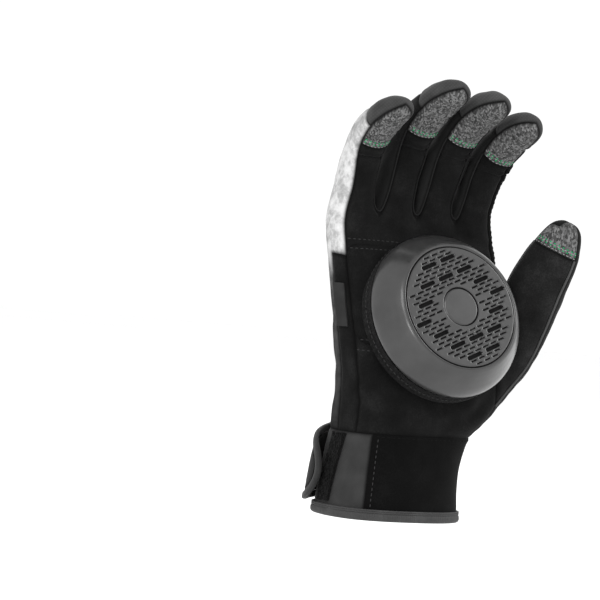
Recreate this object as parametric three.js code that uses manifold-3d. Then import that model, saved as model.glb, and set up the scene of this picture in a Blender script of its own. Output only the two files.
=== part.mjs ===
// A right-hand longboard slide glove, in millimetres, in the curved form that a hand gives it.
// +Z runs from the wrist opening to the fingertips, the palm faces -Y and the thumb is on +X.
// The origin is the centre of the wrist opening.
import * as THREE from "three";
import { mergeVertices } from "three/addons/utils/BufferGeometryUtils.js";
import Module from "manifold-3d";

const wasm = await Module();
wasm.setup();

// Driving sizes.
const palmWidth = 95; // across the knuckles
const palmDepth = 31; // from the palm's face to the back of the hand
const hemHeight = 1.2; // from the wrist opening to the cuff's cut edge
const cuffHeight = 46.8; // from the wrist opening to the wrist seam
const palmLength = 111; // from the wrist seam to the finger crotches
const shellWall = 1.6; // cloth and lining of every sewn panel
const seamGap = 0.36; // between two panels at their seam
const fingerWidth = 20;
const fingerDepth = 18.5;
const pieceGap = 0.3; // between a panel and what is sewn or pressed onto it
const clothGap = 0.55; // under the strap and the patches, which run over the panels' facets
const hemDrop = 1.0; // how far the binding reaches below the cuff's cut edge
const innerSetBack = 2.4; // a panel's inner edge is set back this many times as far as its outer edge
const mitreLimit = 0.2; // the smallest cosine at a panel's corner

// The wrist: angles are about +Z in degrees, 0 at the thumb's side and 90 at the back.
const bindingWall = 1.0;
const bindingLeg = 5.0;
const foldGap = 0.12; // between the cuff's cut edge and the binding's fold
const strapFrom = 34;
const strapTo = 177;
const strapRound = 26; // the angle over which the strap's end is rounded
const strapLow = 11.6;
const strapHigh = 43.7;
const strapThick = 2.0;
const strapFlare = 5.4; // how far the strap's loose end stands off
const flareFrom = 124;
const strapDrop = 6; // how far the strap's loose end hangs
const hangFrom = 138;
const endCrowding = 1.35; // the strap's columns draw together towards its end
const endShare = 0.14; // the rounded end is this share of the strap's height where it is cut off
const strapColumns = 22;
const tapeWide = 3.8; // the binding tape round the strap and the keyhole
const tapeThick = 2.7;
const tapeSection = [[-0.5, -0.5], [0.5, -0.5], [0.5, 0.2], [0.28, 0.5], [-0.28, 0.5], [-0.5, 0.2]];
const degreesPerMm = 1.75; // on the cuff's flat back
const keyholeAngle = 51;
const keyholeHalf = 13; // half of its binding's width, as an angle
const keyholeFoot = 49.6;
const keyholeRoot = 56.5; // where its straight sides end
const keyholeTop = 67;
const holeShare = 0.74; // the opening inside the binding
const holeCrowding = 0.7; // the opening's rows draw together towards its top
const holeFootGap = 2; // from the strap to the opening's foot
const holeReach = 6; // how far the cutter of the opening stands out on both sides of the cloth
const keyholeTape = 3.2;
const keyholeThick = 2.0;

// The patches on the cuff.
const emblemAngles = [70, 140];
const emblemHeights = [12.9, 42.4];
const emblemThick = 1.3;
const emblemRows = [
  { from: 0.55, to: 0.9, bars: [[0.06, 0.27], [0.33, 0.45], [0.51, 0.72], [0.78, 0.93]] },
  { from: 0.1, to: 0.45, bars: [[0.06, 0.19], [0.25, 0.49], [0.55, 0.67], [0.73, 0.93]] },
];
const emblemSlant = 0.05;
const barThick = 0.9;
const loopAngles = [175, 191];
const loopSlant = 7;
const loopHeights = [7.8, 43.6];
const loopThick = 1.2;

// The slide puck and the disc that holds it to the palm.
const puckProfile = [
  [0, 0], [43.8, 0], [44.6, 0.9], [44.4, 3], [43.2, 6],
  [41.4, 9.5], [39.3, 13], [37.1, 16.1], [35, 17.9], [33.8, 18.4], [0, 18.4],
];
const roundSteps = 40;
const fieldRadius = 33.2;
const hubRadius = 11.4;
const puckTilt = 22; // its face leans up, in degrees
const puckCentre = [12.6, 104.6]; // across and up
const discRadius = 44.2;
const discMargin = 2; // the disc clears the cloth within this distance round it
const discSide = 0.42; // and up to this share of palmWidth towards the thumb
const discDepth = 8.5;
const discThin = 1.5;
const grooveWide = 1.8;
const grooveDeep = 1.2;
const grooveStep = 8.7;
const grooveLong = 10;
const groovePitch = 13.2;
const grooveSlant = 24; // the courses' angle, in degrees

// The second layer of the palm and the bare tag at the side: heights are shares of palmLength over the
// wrist seam.
const overlayHeights = [0.4, 0.86];
const overlayThick = 1.0;
const tagHeights = [0.47, 0.672];
const tagAngles = [186, 194.5];
const tagThick = 0.9;

// The rings of the hand's body. up runs from 0 at the hem to 1 at the wrist seam and 2 at the crotches,
// width is a share of palmWidth, front, back, shift and lean are shares of palmDepth, and thenar is
// how far the thumb's side stands out, a share of palmWidth.
const bodyRings = [
  { up: 0.0, width: 0.835, front: 0.94, back: 0.94, shift: -0.035, lean: 0, thenar: 0 },
  { up: 0.5, width: 0.785, front: 0.9, back: 0.9, shift: -0.045, lean: 0, thenar: 0 },
  { up: 1.0, width: 0.765, front: 0.8, back: 0.78, shift: 0.02, lean: 0, thenar: 0.04 },
  { up: 1.1, width: 0.775, front: 0.78, back: 0.7, shift: 0.125, lean: 0.06, thenar: 0.165 },
  { up: 1.42, width: 0.92, front: 0.72, back: 0.6, shift: 0.225, lean: 0.26, thenar: 0.06 },
  { up: 1.8, width: 1.08, front: 0.59, back: 0.56, shift: 0.245, lean: 0.485, thenar: 0.01 },
  { up: 2.0, width: 1.07, front: 0.5, back: 0.52, shift: 0.22, lean: 0.58, thenar: 0 },
];

// Across a body ring: nine points on the palm, one at the side, nine on the back and one at the other side.
const ringAcross = [-0.9, -0.7, -0.47, -0.24, 0, 0.24, 0.47, 0.7, 0.9];
const ringPower = 2.6;
const thumbRing = 3; // the body ring at the thumb's lower edge
const webRise = 2; // how far the web between the thumb and the palm stands above its body ring
const webReach = 3; // and beyond it towards the thumb
const gussetRise = 6.5; // how far the gusset's top stands above that ring at the little finger's side
const palmArch = 0.16; // how far the edges of the palm come forward, a share of palmDepth
const crotchDip = 0.72; // the crotch ring's depth between two fingers
const thenarFore = 0.5; // how far the thumb's side stands forward, a share of how far it stands out

// The fingers, from the little finger to the index finger. length and width are shares of middleLength
// and fingerWidth, bend is each phalanx's angle to +Z in degrees, spread and roll turn it about Y and Z.
const middleLength = 98;
const fingers = [
  { name: "pinky", length: 0.855, width: 0.99, bend: [8, 54, 74], spread: 1, roll: 14 },
  { name: "ring", length: 1.03, width: 1.03, bend: [11, 52, 76], spread: 5.2, roll: 7 },
  { name: "middle", length: 1.0, width: 1.04, bend: [17, 54, 77], spread: 5.1, roll: 0 },
  { name: "index", length: 0.875, width: 1.03, bend: [22, 54, 76], spread: 5, roll: -8 },
];

// The rings of a finger. along is a share of its length, wide and deep are shares of its width and depth.
// pad is the angle from the pad's middle to its edges, and twist turns the ring, both in degrees.
const fingerRings = [
  { along: 0.16, wide: 0.98, deep: 1.03, pad: 45, twist: 0 },
  { along: 0.36, wide: 1.03, deep: 1.07, pad: 47, twist: -4 },
  { along: 0.54, wide: 1.04, deep: 1.06, pad: 53, twist: -10 },
  { along: 0.71, wide: 1.0, deep: 0.97, pad: 60, twist: -15 },
  { along: 0.86, wide: 0.91, deep: 0.84, pad: 62, twist: -18 },
  { along: 0.96, wide: 0.62, deep: 0.55, pad: 62, twist: -18 },
];
const phalanxShares = [0.44, 0.3, 0.26];
const jointEase = 0.1; // half of the stretch over which a finger bends at a joint, a share of its length
const tipPatchFrom = 0.6;
const backPanelTo = 0.7;
const guardTo = 0.5; // how far the guard reaches up the index finger

// The thumb: its rings' centres, and the directions that it points and that its pad faces.
const thumbRings = [
  { out: 0.712, fore: 0.0, up: 1.38, wide: 1.5, deep: 1.45, turn: 0.42 },
  { out: 0.755, fore: 0.1, up: 1.495, wide: 1.55, deep: 1.35, turn: 0.6 },
  { out: 0.772, fore: 0.23, up: 1.61, wide: 1.6, deep: 1.25, turn: 0.78 },
  { out: 0.797, fore: 0.42, up: 1.762, wide: 1.52, deep: 1.17, turn: 1 },
  { out: 0.856, fore: 0.61, up: 1.915, wide: 1.36, deep: 1.02, turn: 1 },
  { out: 0.9, fore: 0.71, up: 2.035, wide: 0.86, deep: 0.7, turn: 1 },
  { out: 0.912, fore: 0.76, up: 2.075, wide: 0, deep: 0, turn: 1 },
];
const thumbTipFrom = 5;
const thumbPad = 45; // the angle from the middle of its pad to the pad's edges

const roundness = 1.1; // a subdivided ring of eight points lies this much inside its corners
const corner = 0.78; // how far a ring's corners reach along its width and depth

const vector = (x, y, z) => new THREE.Vector3(x, y, z);
const mix = (a, b, t) => a.clone().lerp(b, t);
const mixNumber = THREE.MathUtils.lerp;
const radians = THREE.MathUtils.degToRad;

// The height of a body ring from its share.
const ringHeight = (up) => (
  up <= 1 ? mixNumber(hemHeight, cuffHeight, up) : cuffHeight + (up - 1) * palmLength
);

// One body ring as a list of 20 points.
function bodyRing(row, web, isCrotch) {
  const half = (row.width * palmWidth) / 2;
  const z = ringHeight(row.up);
  const arch = Math.max(0, row.up - 1) * palmArch * palmDepth;
  const swell = (x) => row.thenar * palmWidth * THREE.MathUtils.smoothstep(x, 0.2, 1);
  const webShare = (x) => web * THREE.MathUtils.smoothstep(x, 0.6, 1);
  const at = (x, y) => vector(
    row.shift * palmDepth + half * x + swell(x) + webReach * webShare(x),
    row.lean * palmDepth + y - arch * x * x - thenarFore * swell(x),
    z + webRise * webShare(x) + gussetRise * webShare(-x),
  );
  const bulge = (x) => Math.pow(1 - Math.pow(Math.abs(x), ringPower), 1 / ringPower);
  const dip = (k) => (isCrotch && k % 2 === 0 && k > 0 && k < 8 ? crotchDip : 1);
  const front = ringAcross.map((x, k) => at(x, -row.front * palmDepth * bulge(x) * dip(k)));
  const back = ringAcross.map((x, k) => at(x, row.back * palmDepth * bulge(x) * dip(k)));
  return [...front, at(1, 0), ...back.reverse(), at(-1, 0)];
}

// The eight points of a finger's ring about a centre: s points to the index side and n out of the pad,
// whose two edges lie at an angle from n.
function tubeRing(centre, s, n, wide, deep, pad) {
  const w = (wide / 2) * roundness;
  const d = (deep / 2) * roundness;
  const at = (x, y) => centre.clone().addScaledVector(s, x * w).addScaledVector(n, y * d);
  const edge = Math.hypot(corner, corner);
  const [aside, forward] = [edge * Math.sin(radians(pad)), edge * Math.cos(radians(pad))];
  return [
    at(-aside, forward), at(0, 1), at(aside, forward), at(1, 0),
    at(corner, -corner), at(0, -1), at(-corner, -corner), at(-1, 0),
  ];
}

// The cage: points, and faces with the row and column that say which panel they belong to.
const points = [];
const faces = [];
const addPoint = (p) => points.push(p) - 1;
const addFace = (loop, panel) => faces.push({ loop, panel });

// Joins ring a to ring b, which have as many points, with one panel name for each column.
function joinRings(a, b, panelOf) {
  a.forEach((_, j) => {
    const k = (j + 1) % a.length;
    const panel = panelOf(j);
    if (panel) addFace([a[j], a[k], b[k], b[j]], panel);
  });
}

// Closes a ring of eight points round a tip.
function closeTip(ring, tip, panelOf) {
  const c = addPoint(tip);
  for (let j = 0; j < 8; j += 2) {
    addFace([ring[j], ring[(j + 1) % 8], ring[(j + 2) % 8], c], panelOf(j));
  }
}

const thumbTop = thumbRing + 2;
const body = bodyRings.map((row, i) => (
  bodyRing(row, i === thumbTop ? 1 : 0, i === bodyRings.length - 1).map(addPoint)
));
body.slice(1).forEach((ring, i) => {
  joinRings(body[i], ring, (j) => {
    if (i >= thumbRing && i < thumbTop && (j === 8 || j === 9)) return null;
    if (i < 2) return j > 0 && j < 8 ? "cuff_front" : "cuff_back";
    if (j < 8) return "palm_panel";
    if (j < 11) return i <= thumbRing ? "thumb_back" : "web_guard";
    if (j < 18) return "back_panel";
    return j === 18 || i > 4 ? "back_panel" : "side_gusset";
  });
});

// A finger grows from its stretch of the crotch ring.
const crotchRing = body[body.length - 1];
const middles = [];
fingers.forEach((finger, f) => {
  const left = f === 0 ? crotchRing[19] : middles[f - 1];
  const lowFront = points[crotchRing[2 * f + 2]];
  const lowBack = points[crotchRing[16 - 2 * f]];
  if (f < 3) middles.push(addPoint(mix(lowFront, lowBack, 0.5).add(vector(0, 0, 1))));
  const right = f === 3 ? crotchRing[9] : middles[f];
  const base = [
    crotchRing[2 * f], crotchRing[2 * f + 1], crotchRing[2 * f + 2], right,
    crotchRing[16 - 2 * f], crotchRing[17 - 2 * f], crotchRing[18 - 2 * f], left,
  ];
  const start = base.reduce((sum, i) => sum.add(points[i]), vector(0, 0, 0)).divideScalar(8);
  const length = finger.length * middleLength;
  const turn = new THREE.Matrix4().makeRotationY(radians(finger.spread));
  // The bend eases from one phalanx to the next over a joint.
  const bendAt = (t) => {
    const [a, b] = [phalanxShares[0], phalanxShares[0] + phalanxShares[1]];
    const ease = (x) => THREE.MathUtils.smoothstep(x, -jointEase, jointEase);
    const [first, second, third] = finger.bend;
    return first + (second - first) * ease(t - a) + (third - second) * ease(t - b);
  };
  const heading = (t) => {
    const b = radians(bendAt(t));
    return vector(0, -Math.sin(b), Math.cos(b)).applyMatrix4(turn);
  };
  const steps = 60;
  const line = [start.clone()];
  for (let i = 0; i < steps; i += 1) {
    line.push(line[i].clone().addScaledVector(heading((i + 0.5) / steps), length / steps));
  }
  const centreAt = (t) => {
    const x = t * steps;
    const i = Math.min(steps - 1, Math.floor(x));
    return mix(line[i], line[i + 1], x - i);
  };
  const panelOf = (along) => (j) => {
    if (j < 2) return along < tipPatchFrom ? "palm_panel" : "tip_patch_" + finger.name;
    if (along >= backPanelTo) return "tip_cap_" + finger.name;
    if (f === 3 && j < 5 && along < guardTo) return "web_guard";
    if (j < 4) return f === 3 ? "index_side" : "fourchette_" + f;
    if (j < 6) return "back_panel";
    return f === 0 ? "back_panel" : "fourchette_" + (f - 1);
  };
  let ring = base;
  let before = 0;
  fingerRings.forEach((row) => {
    const t = heading(row.along);
    const s = vector(1, 0, 0).applyMatrix4(turn).applyAxisAngle(t, radians(finger.roll + row.twist));
    s.addScaledVector(t, -s.dot(t)).normalize();
    const n = s.clone().cross(t);
    const wide = row.wide * finger.width * fingerWidth;
    const deep = row.deep * finger.width * fingerDepth;
    const next = tubeRing(centreAt(row.along), s, n, wide, deep, row.pad).map(addPoint);
    joinRings(ring, next, panelOf((before + row.along) / 2));
    ring = next;
    before = row.along;
  });
  closeTip(ring, centreAt(1.0), panelOf(1));
});

// The thumb grows from the gap in the body's side.
{
  const [low, mid, high] = [body[thumbRing], body[thumbRing + 1], body[thumbTop]];
  const base = [high[8], mid[8], low[8], low[9], low[10], mid[10], high[10], high[9]];
  const centres = thumbRings.map((row) => (
    vector(row.out * palmWidth, -row.fore * palmDepth, ringHeight(row.up))
  ));
  const padFrom = vector(-0.35, -0.93, 0);
  const outward = vector(1, 0, 0);
  const panelOf = (i) => (j) => {
    if (j > 4 && i < 3) return "web_guard";
    if (j > 1 && j < 7) return "thumb_back";
    return i < thumbTipFrom ? "thumb_front" : "tip_patch_thumb";
  };
  let ring = base;
  thumbRings.slice(0, -1).forEach((row, i) => {
    const along = centres[i + 1].clone().sub(centres[Math.max(0, i - 1)]).normalize();
    const t = mix(outward, along, row.turn).normalize();
    const n = padFrom.clone().addScaledVector(t, -padFrom.dot(t)).normalize();
    const s = t.clone().cross(n);
    const [wide, deep] = [row.wide * fingerWidth, row.deep * fingerDepth];
    const next = tubeRing(centres[i], s, n, wide, deep, thumbPad).map(addPoint);
    joinRings(ring, next, panelOf(i));
    ring = next;
  });
  closeTip(ring, centres[centres.length - 1], panelOf(thumbRings.length));
}

// One step of Catmull-Clark subdivision. Each new face keeps its panel.
function subdivide(cage) {
  const out = cage.points.map((p) => p.clone());
  const edges = new Map();
  const around = cage.points.map(() => ({ faces: [], edges: [], rim: [] }));
  const key = (a, b) => (a < b ? a + "_" + b : b + "_" + a);
  const faceIndex = cage.faces.map(({ loop }) => {
    const c = vector(0, 0, 0);
    loop.forEach((i) => c.add(cage.points[i]));
    return out.push(c.divideScalar(loop.length)) - 1;
  });
  cage.faces.forEach(({ loop }, f) => {
    loop.forEach((a, i) => {
      const b = loop[(i + 1) % loop.length];
      const k = key(a, b);
      if (!edges.has(k)) edges.set(k, { a, b, sides: [] });
      edges.get(k).sides.push(faceIndex[f]);
      around[a].faces.push(faceIndex[f]);
    });
  });
  edges.forEach((e) => {
    const middle = mix(cage.points[e.a], cage.points[e.b], 0.5);
    if (e.sides.length === 2) middle.lerp(mix(out[e.sides[0]], out[e.sides[1]], 0.5), 0.5);
    e.point = out.push(middle) - 1;
    [[e.a, e.b], [e.b, e.a]].forEach(([from, to]) => {
      around[from].edges.push(mix(cage.points[e.a], cage.points[e.b], 0.5));
      if (e.sides.length === 1) around[from].rim.push(cage.points[to]);
    });
  });
  around.forEach((v, i) => {
    const p = cage.points[i];
    if (v.rim.length) {
      out[i] = p.clone().multiplyScalar(6).add(v.rim[0]).add(v.rim[1]).divideScalar(8);
      return;
    }
    const n = v.faces.length;
    if (n === 0) return;
    const f = v.faces.reduce((sum, j) => sum.add(out[j]), vector(0, 0, 0)).divideScalar(n);
    const r = v.edges.reduce((sum, q) => sum.add(q), vector(0, 0, 0)).divideScalar(n);
    out[i] = f.addScaledVector(r, 2).addScaledVector(p, n - 3).divideScalar(n);
  });
  const made = [];
  cage.faces.forEach(({ loop, panel }, f) => {
    loop.forEach((a, i) => {
      const b = loop[(i + 1) % loop.length];
      const z = loop[(i + loop.length - 1) % loop.length];
      made.push({ loop: [a, edges.get(key(a, b)).point, faceIndex[f], edges.get(key(z, a)).point], panel });
    });
  });
  return { points: out, faces: made };
}

const skin = subdivide({ points, faces });

// The outward normal at each point of the skin.
const normals = skin.points.map(() => vector(0, 0, 0));
skin.faces.forEach(({ loop }) => {
  const [a, b, c, d] = loop.map((i) => skin.points[i]);
  const n = c.clone().sub(a).cross(d.clone().sub(b));
  loop.forEach((i) => normals[i].add(n));
});
normals.forEach((n) => n.normalize());

// A geometry from points and triangles.
function solid(corners, triangles) {
  const g = new THREE.BufferGeometry();
  g.setAttribute("position", new THREE.Float32BufferAttribute(corners.flatMap((p) => [p.x, p.y, p.z]), 3));
  g.setIndex(triangles.flat());
  g.computeVertexNormals();
  return g;
}

// A closed layer of some faces of the skin, from height low to height high along the normals, with its
// edge set back, more so on its lower face.
function layer(chosen, low, high, setBack) {
  const edges = new Map();
  chosen.forEach(({ loop }) => loop.forEach((a, i) => {
    const b = loop[(i + 1) % loop.length];
    edges.set(a + "_" + b, [a, b]);
  }));
  const rim = [...edges.values()].filter(([a, b]) => !edges.has(b + "_" + a));
  const after = new Map(rim);
  const before = new Map(rim.map(([a, b]) => [b, a]));
  const spot = (i, back) => {
    const p = skin.points[i].clone();
    if (!after.has(i)) return p;
    const inward = (from, to) => {
      const along = skin.points[to].clone().sub(skin.points[from]);
      return normals[i].clone().cross(along).normalize();
    };
    const first = inward(before.get(i), i);
    const both = inward(i, after.get(i)).add(first).normalize();
    return p.addScaledVector(both, back / Math.max(mitreLimit, both.dot(first)));
  };
  const used = [...new Set(chosen.flatMap(({ loop }) => loop))];
  const index = new Map(used.map((i, k) => [i, k]));
  const corners = [
    ...used.map((i) => spot(i, setBack).addScaledVector(normals[i], high)),
    ...used.map((i) => spot(i, setBack * innerSetBack).addScaledVector(normals[i], low)),
  ];
  const triangles = [];
  const under = used.length;
  chosen.forEach(({ loop }) => {
    const [a, b, c, d] = loop.map((i) => index.get(i));
    triangles.push([a, b, c], [a, c, d]);
    triangles.push([a + under, c + under, b + under], [a + under, d + under, c + under]);
  });
  rim.forEach(([from, to]) => {
    const [a, b] = [index.get(from), index.get(to)];
    triangles.push([b, a, a + under], [b, a + under, b + under]);
  });
  return solid(corners, triangles);
}

// The hand's axis at a height, as the body rings lean.
function axisAt(z) {
  const up = z < cuffHeight ? z / cuffHeight : 1 + (z - cuffHeight) / palmLength;
  const next = bodyRings.findIndex((row) => row.up >= up);
  const [a, b] = [bodyRings[Math.max(0, next - 1)], bodyRings[Math.max(1, next)]];
  const t = THREE.MathUtils.clamp((up - a.up) / (b.up - a.up), 0, 1);
  return vector(mixNumber(a.shift, b.shift, t) * palmDepth, mixNumber(a.lean, b.lean, t) * palmDepth, z);
}

// Where a ray meets the skin: the first meeting, or the last one.
function cast(from, way, takeLast) {
  const ray = new THREE.Ray(from, way);
  const hit = vector(0, 0, 0);
  let best = null;
  skin.faces.forEach(({ loop }) => {
    const [a, b, c, d] = loop.map((i) => skin.points[i]);
    if (Math.max(a.z, b.z, c.z, d.z) < from.z || Math.min(a.z, b.z, c.z, d.z) > from.z) return;
    [[a, b, c], [a, c, d]].forEach(([p, q, r]) => {
      if (!ray.intersectTriangle(p, q, r, false, hit)) return;
      if (!best || hit.distanceTo(from) > best.distanceTo(from) === takeLast) best = hit.clone();
    });
  });
  return best;
}
const skinAt = (angle, z) => (
  cast(axisAt(z), vector(Math.cos(radians(angle)), Math.sin(radians(angle)), 0), true)
);
const lowest = hemHeight + 0.01; // a ray just above the cuff's cut edge meets the skin

// A point of the skin and its normal, both eased over the facets.
function skinFrame(angle, z) {
  const step = 3; // the frame is read this far to each side, in degrees and in millimetres
  const p = skinAt(angle, z);
  const round = skinAt(angle + step, z).sub(skinAt(angle - step, z));
  const up = skinAt(angle, z + step).sub(skinAt(angle, Math.max(lowest, z - step)));
  return { p, n: round.cross(up).normalize() };
}

// A closed sheet on the skin: place gives the angle and height for a share across and a share up, and
// low and high give its two faces' heights over the skin.
function sheet(across, up, place, low, high) {
  const wide = across + 1;
  const rows = [];
  for (let j = 0; j <= up; j += 1) {
    for (let i = 0; i <= across; i += 1) rows.push({ u: i / across, v: j / up });
  }
  const frames = rows.map(({ u, v }) => skinFrame(...place(u, v)));
  const at = (height) => frames.map(({ p, n }, k) => (
    p.clone().addScaledVector(n, height(rows[k].u, rows[k].v))
  ));
  const corners = [...at(high), ...at(low)];
  const under = frames.length;
  const triangles = [];
  for (let j = 0; j < up; j += 1) {
    for (let i = 0; i < across; i += 1) {
      const [a, b, c, d] = [j * wide + i, j * wide + i + 1, (j + 1) * wide + i + 1, (j + 1) * wide + i];
      triangles.push([a, b, c], [a, c, d]);
      triangles.push([a + under, c + under, b + under], [a + under, d + under, c + under]);
    }
  }
  const side = (a, b) => triangles.push([b, a, a + under], [b, a + under, b + under]);
  for (let i = 0; i < across; i += 1) {
    side(i, i + 1);
    side(up * wide + i + 1, up * wide + i);
  }
  for (let j = 0; j < up; j += 1) {
    side(j * wide + across, (j + 1) * wide + across);
    side((j + 1) * wide, j * wide);
  }
  return solid(corners, triangles);
}

// A bar of constant section along a path. The section is a loop of pairs, side and rise.
function sweep(path, section, closed) {
  const count = section.length;
  const corners = path.flatMap(({ p, side, rise }) => section.map(([s, r]) => (
    p.clone().addScaledVector(side, s).addScaledVector(rise, r)
  )));
  const triangles = [];
  const last = closed ? path.length : path.length - 1;
  for (let i = 0; i < last; i += 1) {
    const k = (i + 1) % path.length;
    for (let j = 0; j < count; j += 1) {
      const m = (j + 1) % count;
      const [a, b, c, d] = [i * count + j, i * count + m, k * count + m, k * count + j];
      triangles.push([a, b, c], [a, c, d]);
    }
  }
  if (!closed) {
    const end = (path.length - 1) * count;
    for (let j = 1; j + 1 < count; j += 1) {
      triangles.push([0, j + 1, j], [end, end + j, end + j + 1]);
    }
  }
  return solid(corners, triangles);
}

// Puts each point of a path on the skin: side lies on the skin to the left of the path's way.
function pathOnSkin(spots, closed) {
  const frames = spots.map(({ angle, z, lift }) => {
    const { p, n } = skinFrame(angle, z);
    return { p: p.addScaledVector(n, lift), n };
  });
  return frames.map(({ p, n }, i) => {
    const next = frames[closed ? (i + 1) % frames.length : Math.min(frames.length - 1, i + 1)].p;
    const back = frames[closed ? (i + frames.length - 1) % frames.length : Math.max(0, i - 1)].p;
    const way = next.clone().sub(back).normalize();
    const side = n.clone().cross(way).normalize();
    return { p, side, rise: way.clone().cross(side).normalize() };
  });
}

const toBody = (geometry) => {
  const g = geometry.clone();
  g.deleteAttribute("normal");
  g.deleteAttribute("uv");
  const merged = mergeVertices(g, 1e-4);
  return new wasm.Manifold(new wasm.Mesh({
    numProp: 3,
    vertProperties: new Float32Array(merged.attributes.position.array),
    triVerts: new Uint32Array(merged.index.array),
  }));
};
const fromBody = (bodyMade) => {
  const mesh = bodyMade.getMesh();
  const g = new THREE.BufferGeometry();
  g.setAttribute("position", new THREE.BufferAttribute(new Float32Array(mesh.vertProperties), 3));
  g.setIndex(new THREE.BufferAttribute(new Uint32Array(mesh.triVerts), 1));
  g.computeVertexNormals();
  return g;
};

// The materials.
const look = (color, roughness) => new THREE.MeshStandardMaterial({ color, roughness });
const suede = look(0x1b1b1c, 0.95);
const stretch = look(0x161617, 0.9);
const knit = look(0x6c6f71, 0.95);
const capCloth = look(0x303132, 0.9);
const print = look(0xbfc1c3, 0.85);
const binding = look(0x404143, 0.85);
const fuzzy = look(0x2a2a2b, 1);
const plastic = look(0x5d5f62, 0.3);
const rubber = look(0x3b3c3e, 0.6);
const green = look(0x14d889, 0.5);

const group = new THREE.Group();
const add = (name, geometry, material) => {
  const mesh = new THREE.Mesh(geometry, material);
  mesh.name = name;
  group.add(mesh);
};

// The sewn panels.
const panelLooks = {
  palm_panel: suede,
  back_panel: print,
  side_gusset: stretch,
  web_guard: suede,
  index_side: stretch,
  thumb_front: suede,
  thumb_back: stretch,
  cuff_front: suede,
  cuff_back: stretch,
};
const panelNames = [...new Set(skin.faces.map(({ panel }) => panel))];
const panelOfName = (name) => skin.faces.filter(({ panel }) => panel === name);
const lookOf = (name) => {
  if (name.startsWith("tip_patch")) return knit;
  if (name.startsWith("tip_cap")) return capCloth;
  return name.startsWith("fourchette") ? stretch : panelLooks[name];
};
const keyholeWidth = (z) => {
  const t = Math.max(0, (z - keyholeRoot) / (keyholeTop - keyholeRoot));
  return keyholeHalf * Math.sqrt(Math.max(0, 1 - t * t));
};
const holeTop = keyholeTop - keyholeTape;
const hole = sheet(6, 8, (u, v) => {
  const z = mixNumber(strapHigh + holeFootGap, holeTop, Math.pow(v, holeCrowding));
  return [keyholeAngle + (2 * u - 1) * Math.max(1, holeShare * keyholeWidth(z + keyholeTape * v)), z];
}, () => -holeReach, () => holeReach);
panelNames.forEach((name) => {
  const shell = layer(panelOfName(name), -shellWall, 0, seamGap / 2);
  const cut = name === "back_panel" ? fromBody(toBody(shell).subtract(toBody(hole))) : shell;
  add(name, cut, lookOf(name));
});

// The second layer of the palm.
const overlayFaces = panelOfName("palm_panel").filter(({ loop }) => {
  const z = loop.reduce((sum, i) => sum + skin.points[i].z, 0) / loop.length;
  const share = (z - cuffHeight) / palmLength;
  return share > overlayHeights[0] && share < overlayHeights[1];
});
add("palm_overlay", layer(overlayFaces, clothGap, clothGap + overlayThick, 1), suede);

// The binding folded round the cuff's edge.
const hemAngles = skin.points
  .filter((p, i) => Math.abs(p.z - hemHeight) < 0.01 && normals[i].lengthSq() > 0)
  .map((p) => THREE.MathUtils.radToDeg(Math.atan2(p.y, p.x)))
  .sort((a, b) => a - b);
const hemPath = pathOnSkin(hemAngles.map((angle) => ({ angle, z: lowest, lift: 0 })), true);
const legIn = -shellWall - pieceGap;
const fold = [
  [-hemDrop, legIn - bindingWall], [bindingLeg, legIn - bindingWall], [bindingLeg, legIn], [-foldGap, legIn],
  [-foldGap, pieceGap], [bindingLeg, pieceGap], [bindingLeg, pieceGap + bindingWall],
  [-hemDrop, pieceGap + bindingWall],
];
add("hem_binding", sweep(hemPath, fold, true), binding);

// The wrist strap: its loose end is rounded and stands off.
const strapMiddle = (strapLow + strapHigh) / 2;
const strapHalf = (strapHigh - strapLow) / 2;
const strapLift = (angle) => clothGap + strapFlare * THREE.MathUtils.smoothstep(angle, flareFrom, strapTo);
const strapAngle = (u) => mixNumber(strapFrom, strapTo, 1 - Math.pow(1 - u, endCrowding));
const hang = (angle) => strapDrop * THREE.MathUtils.smoothstep(angle, hangFrom, strapTo);
add("wrist_strap", sheet(strapColumns, 4, (u, v) => {
  const t = Math.max(0, (strapAngle(u) - strapTo + strapRound) / strapRound);
  const height = Math.max(endShare, Math.sqrt(Math.max(0, 1 - t * t)));
  return [strapAngle(u), strapMiddle + (2 * v - 1) * strapHalf * height - hang(strapAngle(u))];
}, (u) => strapLift(strapAngle(u)), (u) => strapLift(strapAngle(u)) + strapThick), stretch);

// The tape round the strap: along its foot, round its end and back along its top.
const reach = tapeWide / 2 + clothGap;
const tapeAngles = [];
for (let i = 0; i <= 10; i += 1) tapeAngles.push(mixNumber(strapFrom, strapTo - strapRound, i / 10));
const tapeTurn = [];
for (let i = 1; i < 12; i += 1) tapeTurn.push(-90 + i * 15);
const tapeSpots = [
  ...tapeAngles.map((angle) => ({ angle, z: strapLow - reach })),
  ...tapeTurn.map((turn) => ({
    angle: strapTo - strapRound + (strapRound + reach * degreesPerMm) * Math.cos(radians(turn)),
    z: strapMiddle + (strapHalf + reach) * Math.sin(radians(turn)),
  })),
  ...tapeAngles.reverse().map((angle) => ({ angle, z: strapHigh + reach })),
].map(({ angle, z }) => ({ angle, z: z - hang(angle), lift: strapLift(angle) + tapeThick / 2 }));
const tape = (wide, thick) => tapeSection.map(([s, r]) => [s * wide, r * thick]);
add("strap_binding", sweep(pathOnSkin(tapeSpots, false), tape(tapeWide, tapeThick), false), binding);

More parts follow.
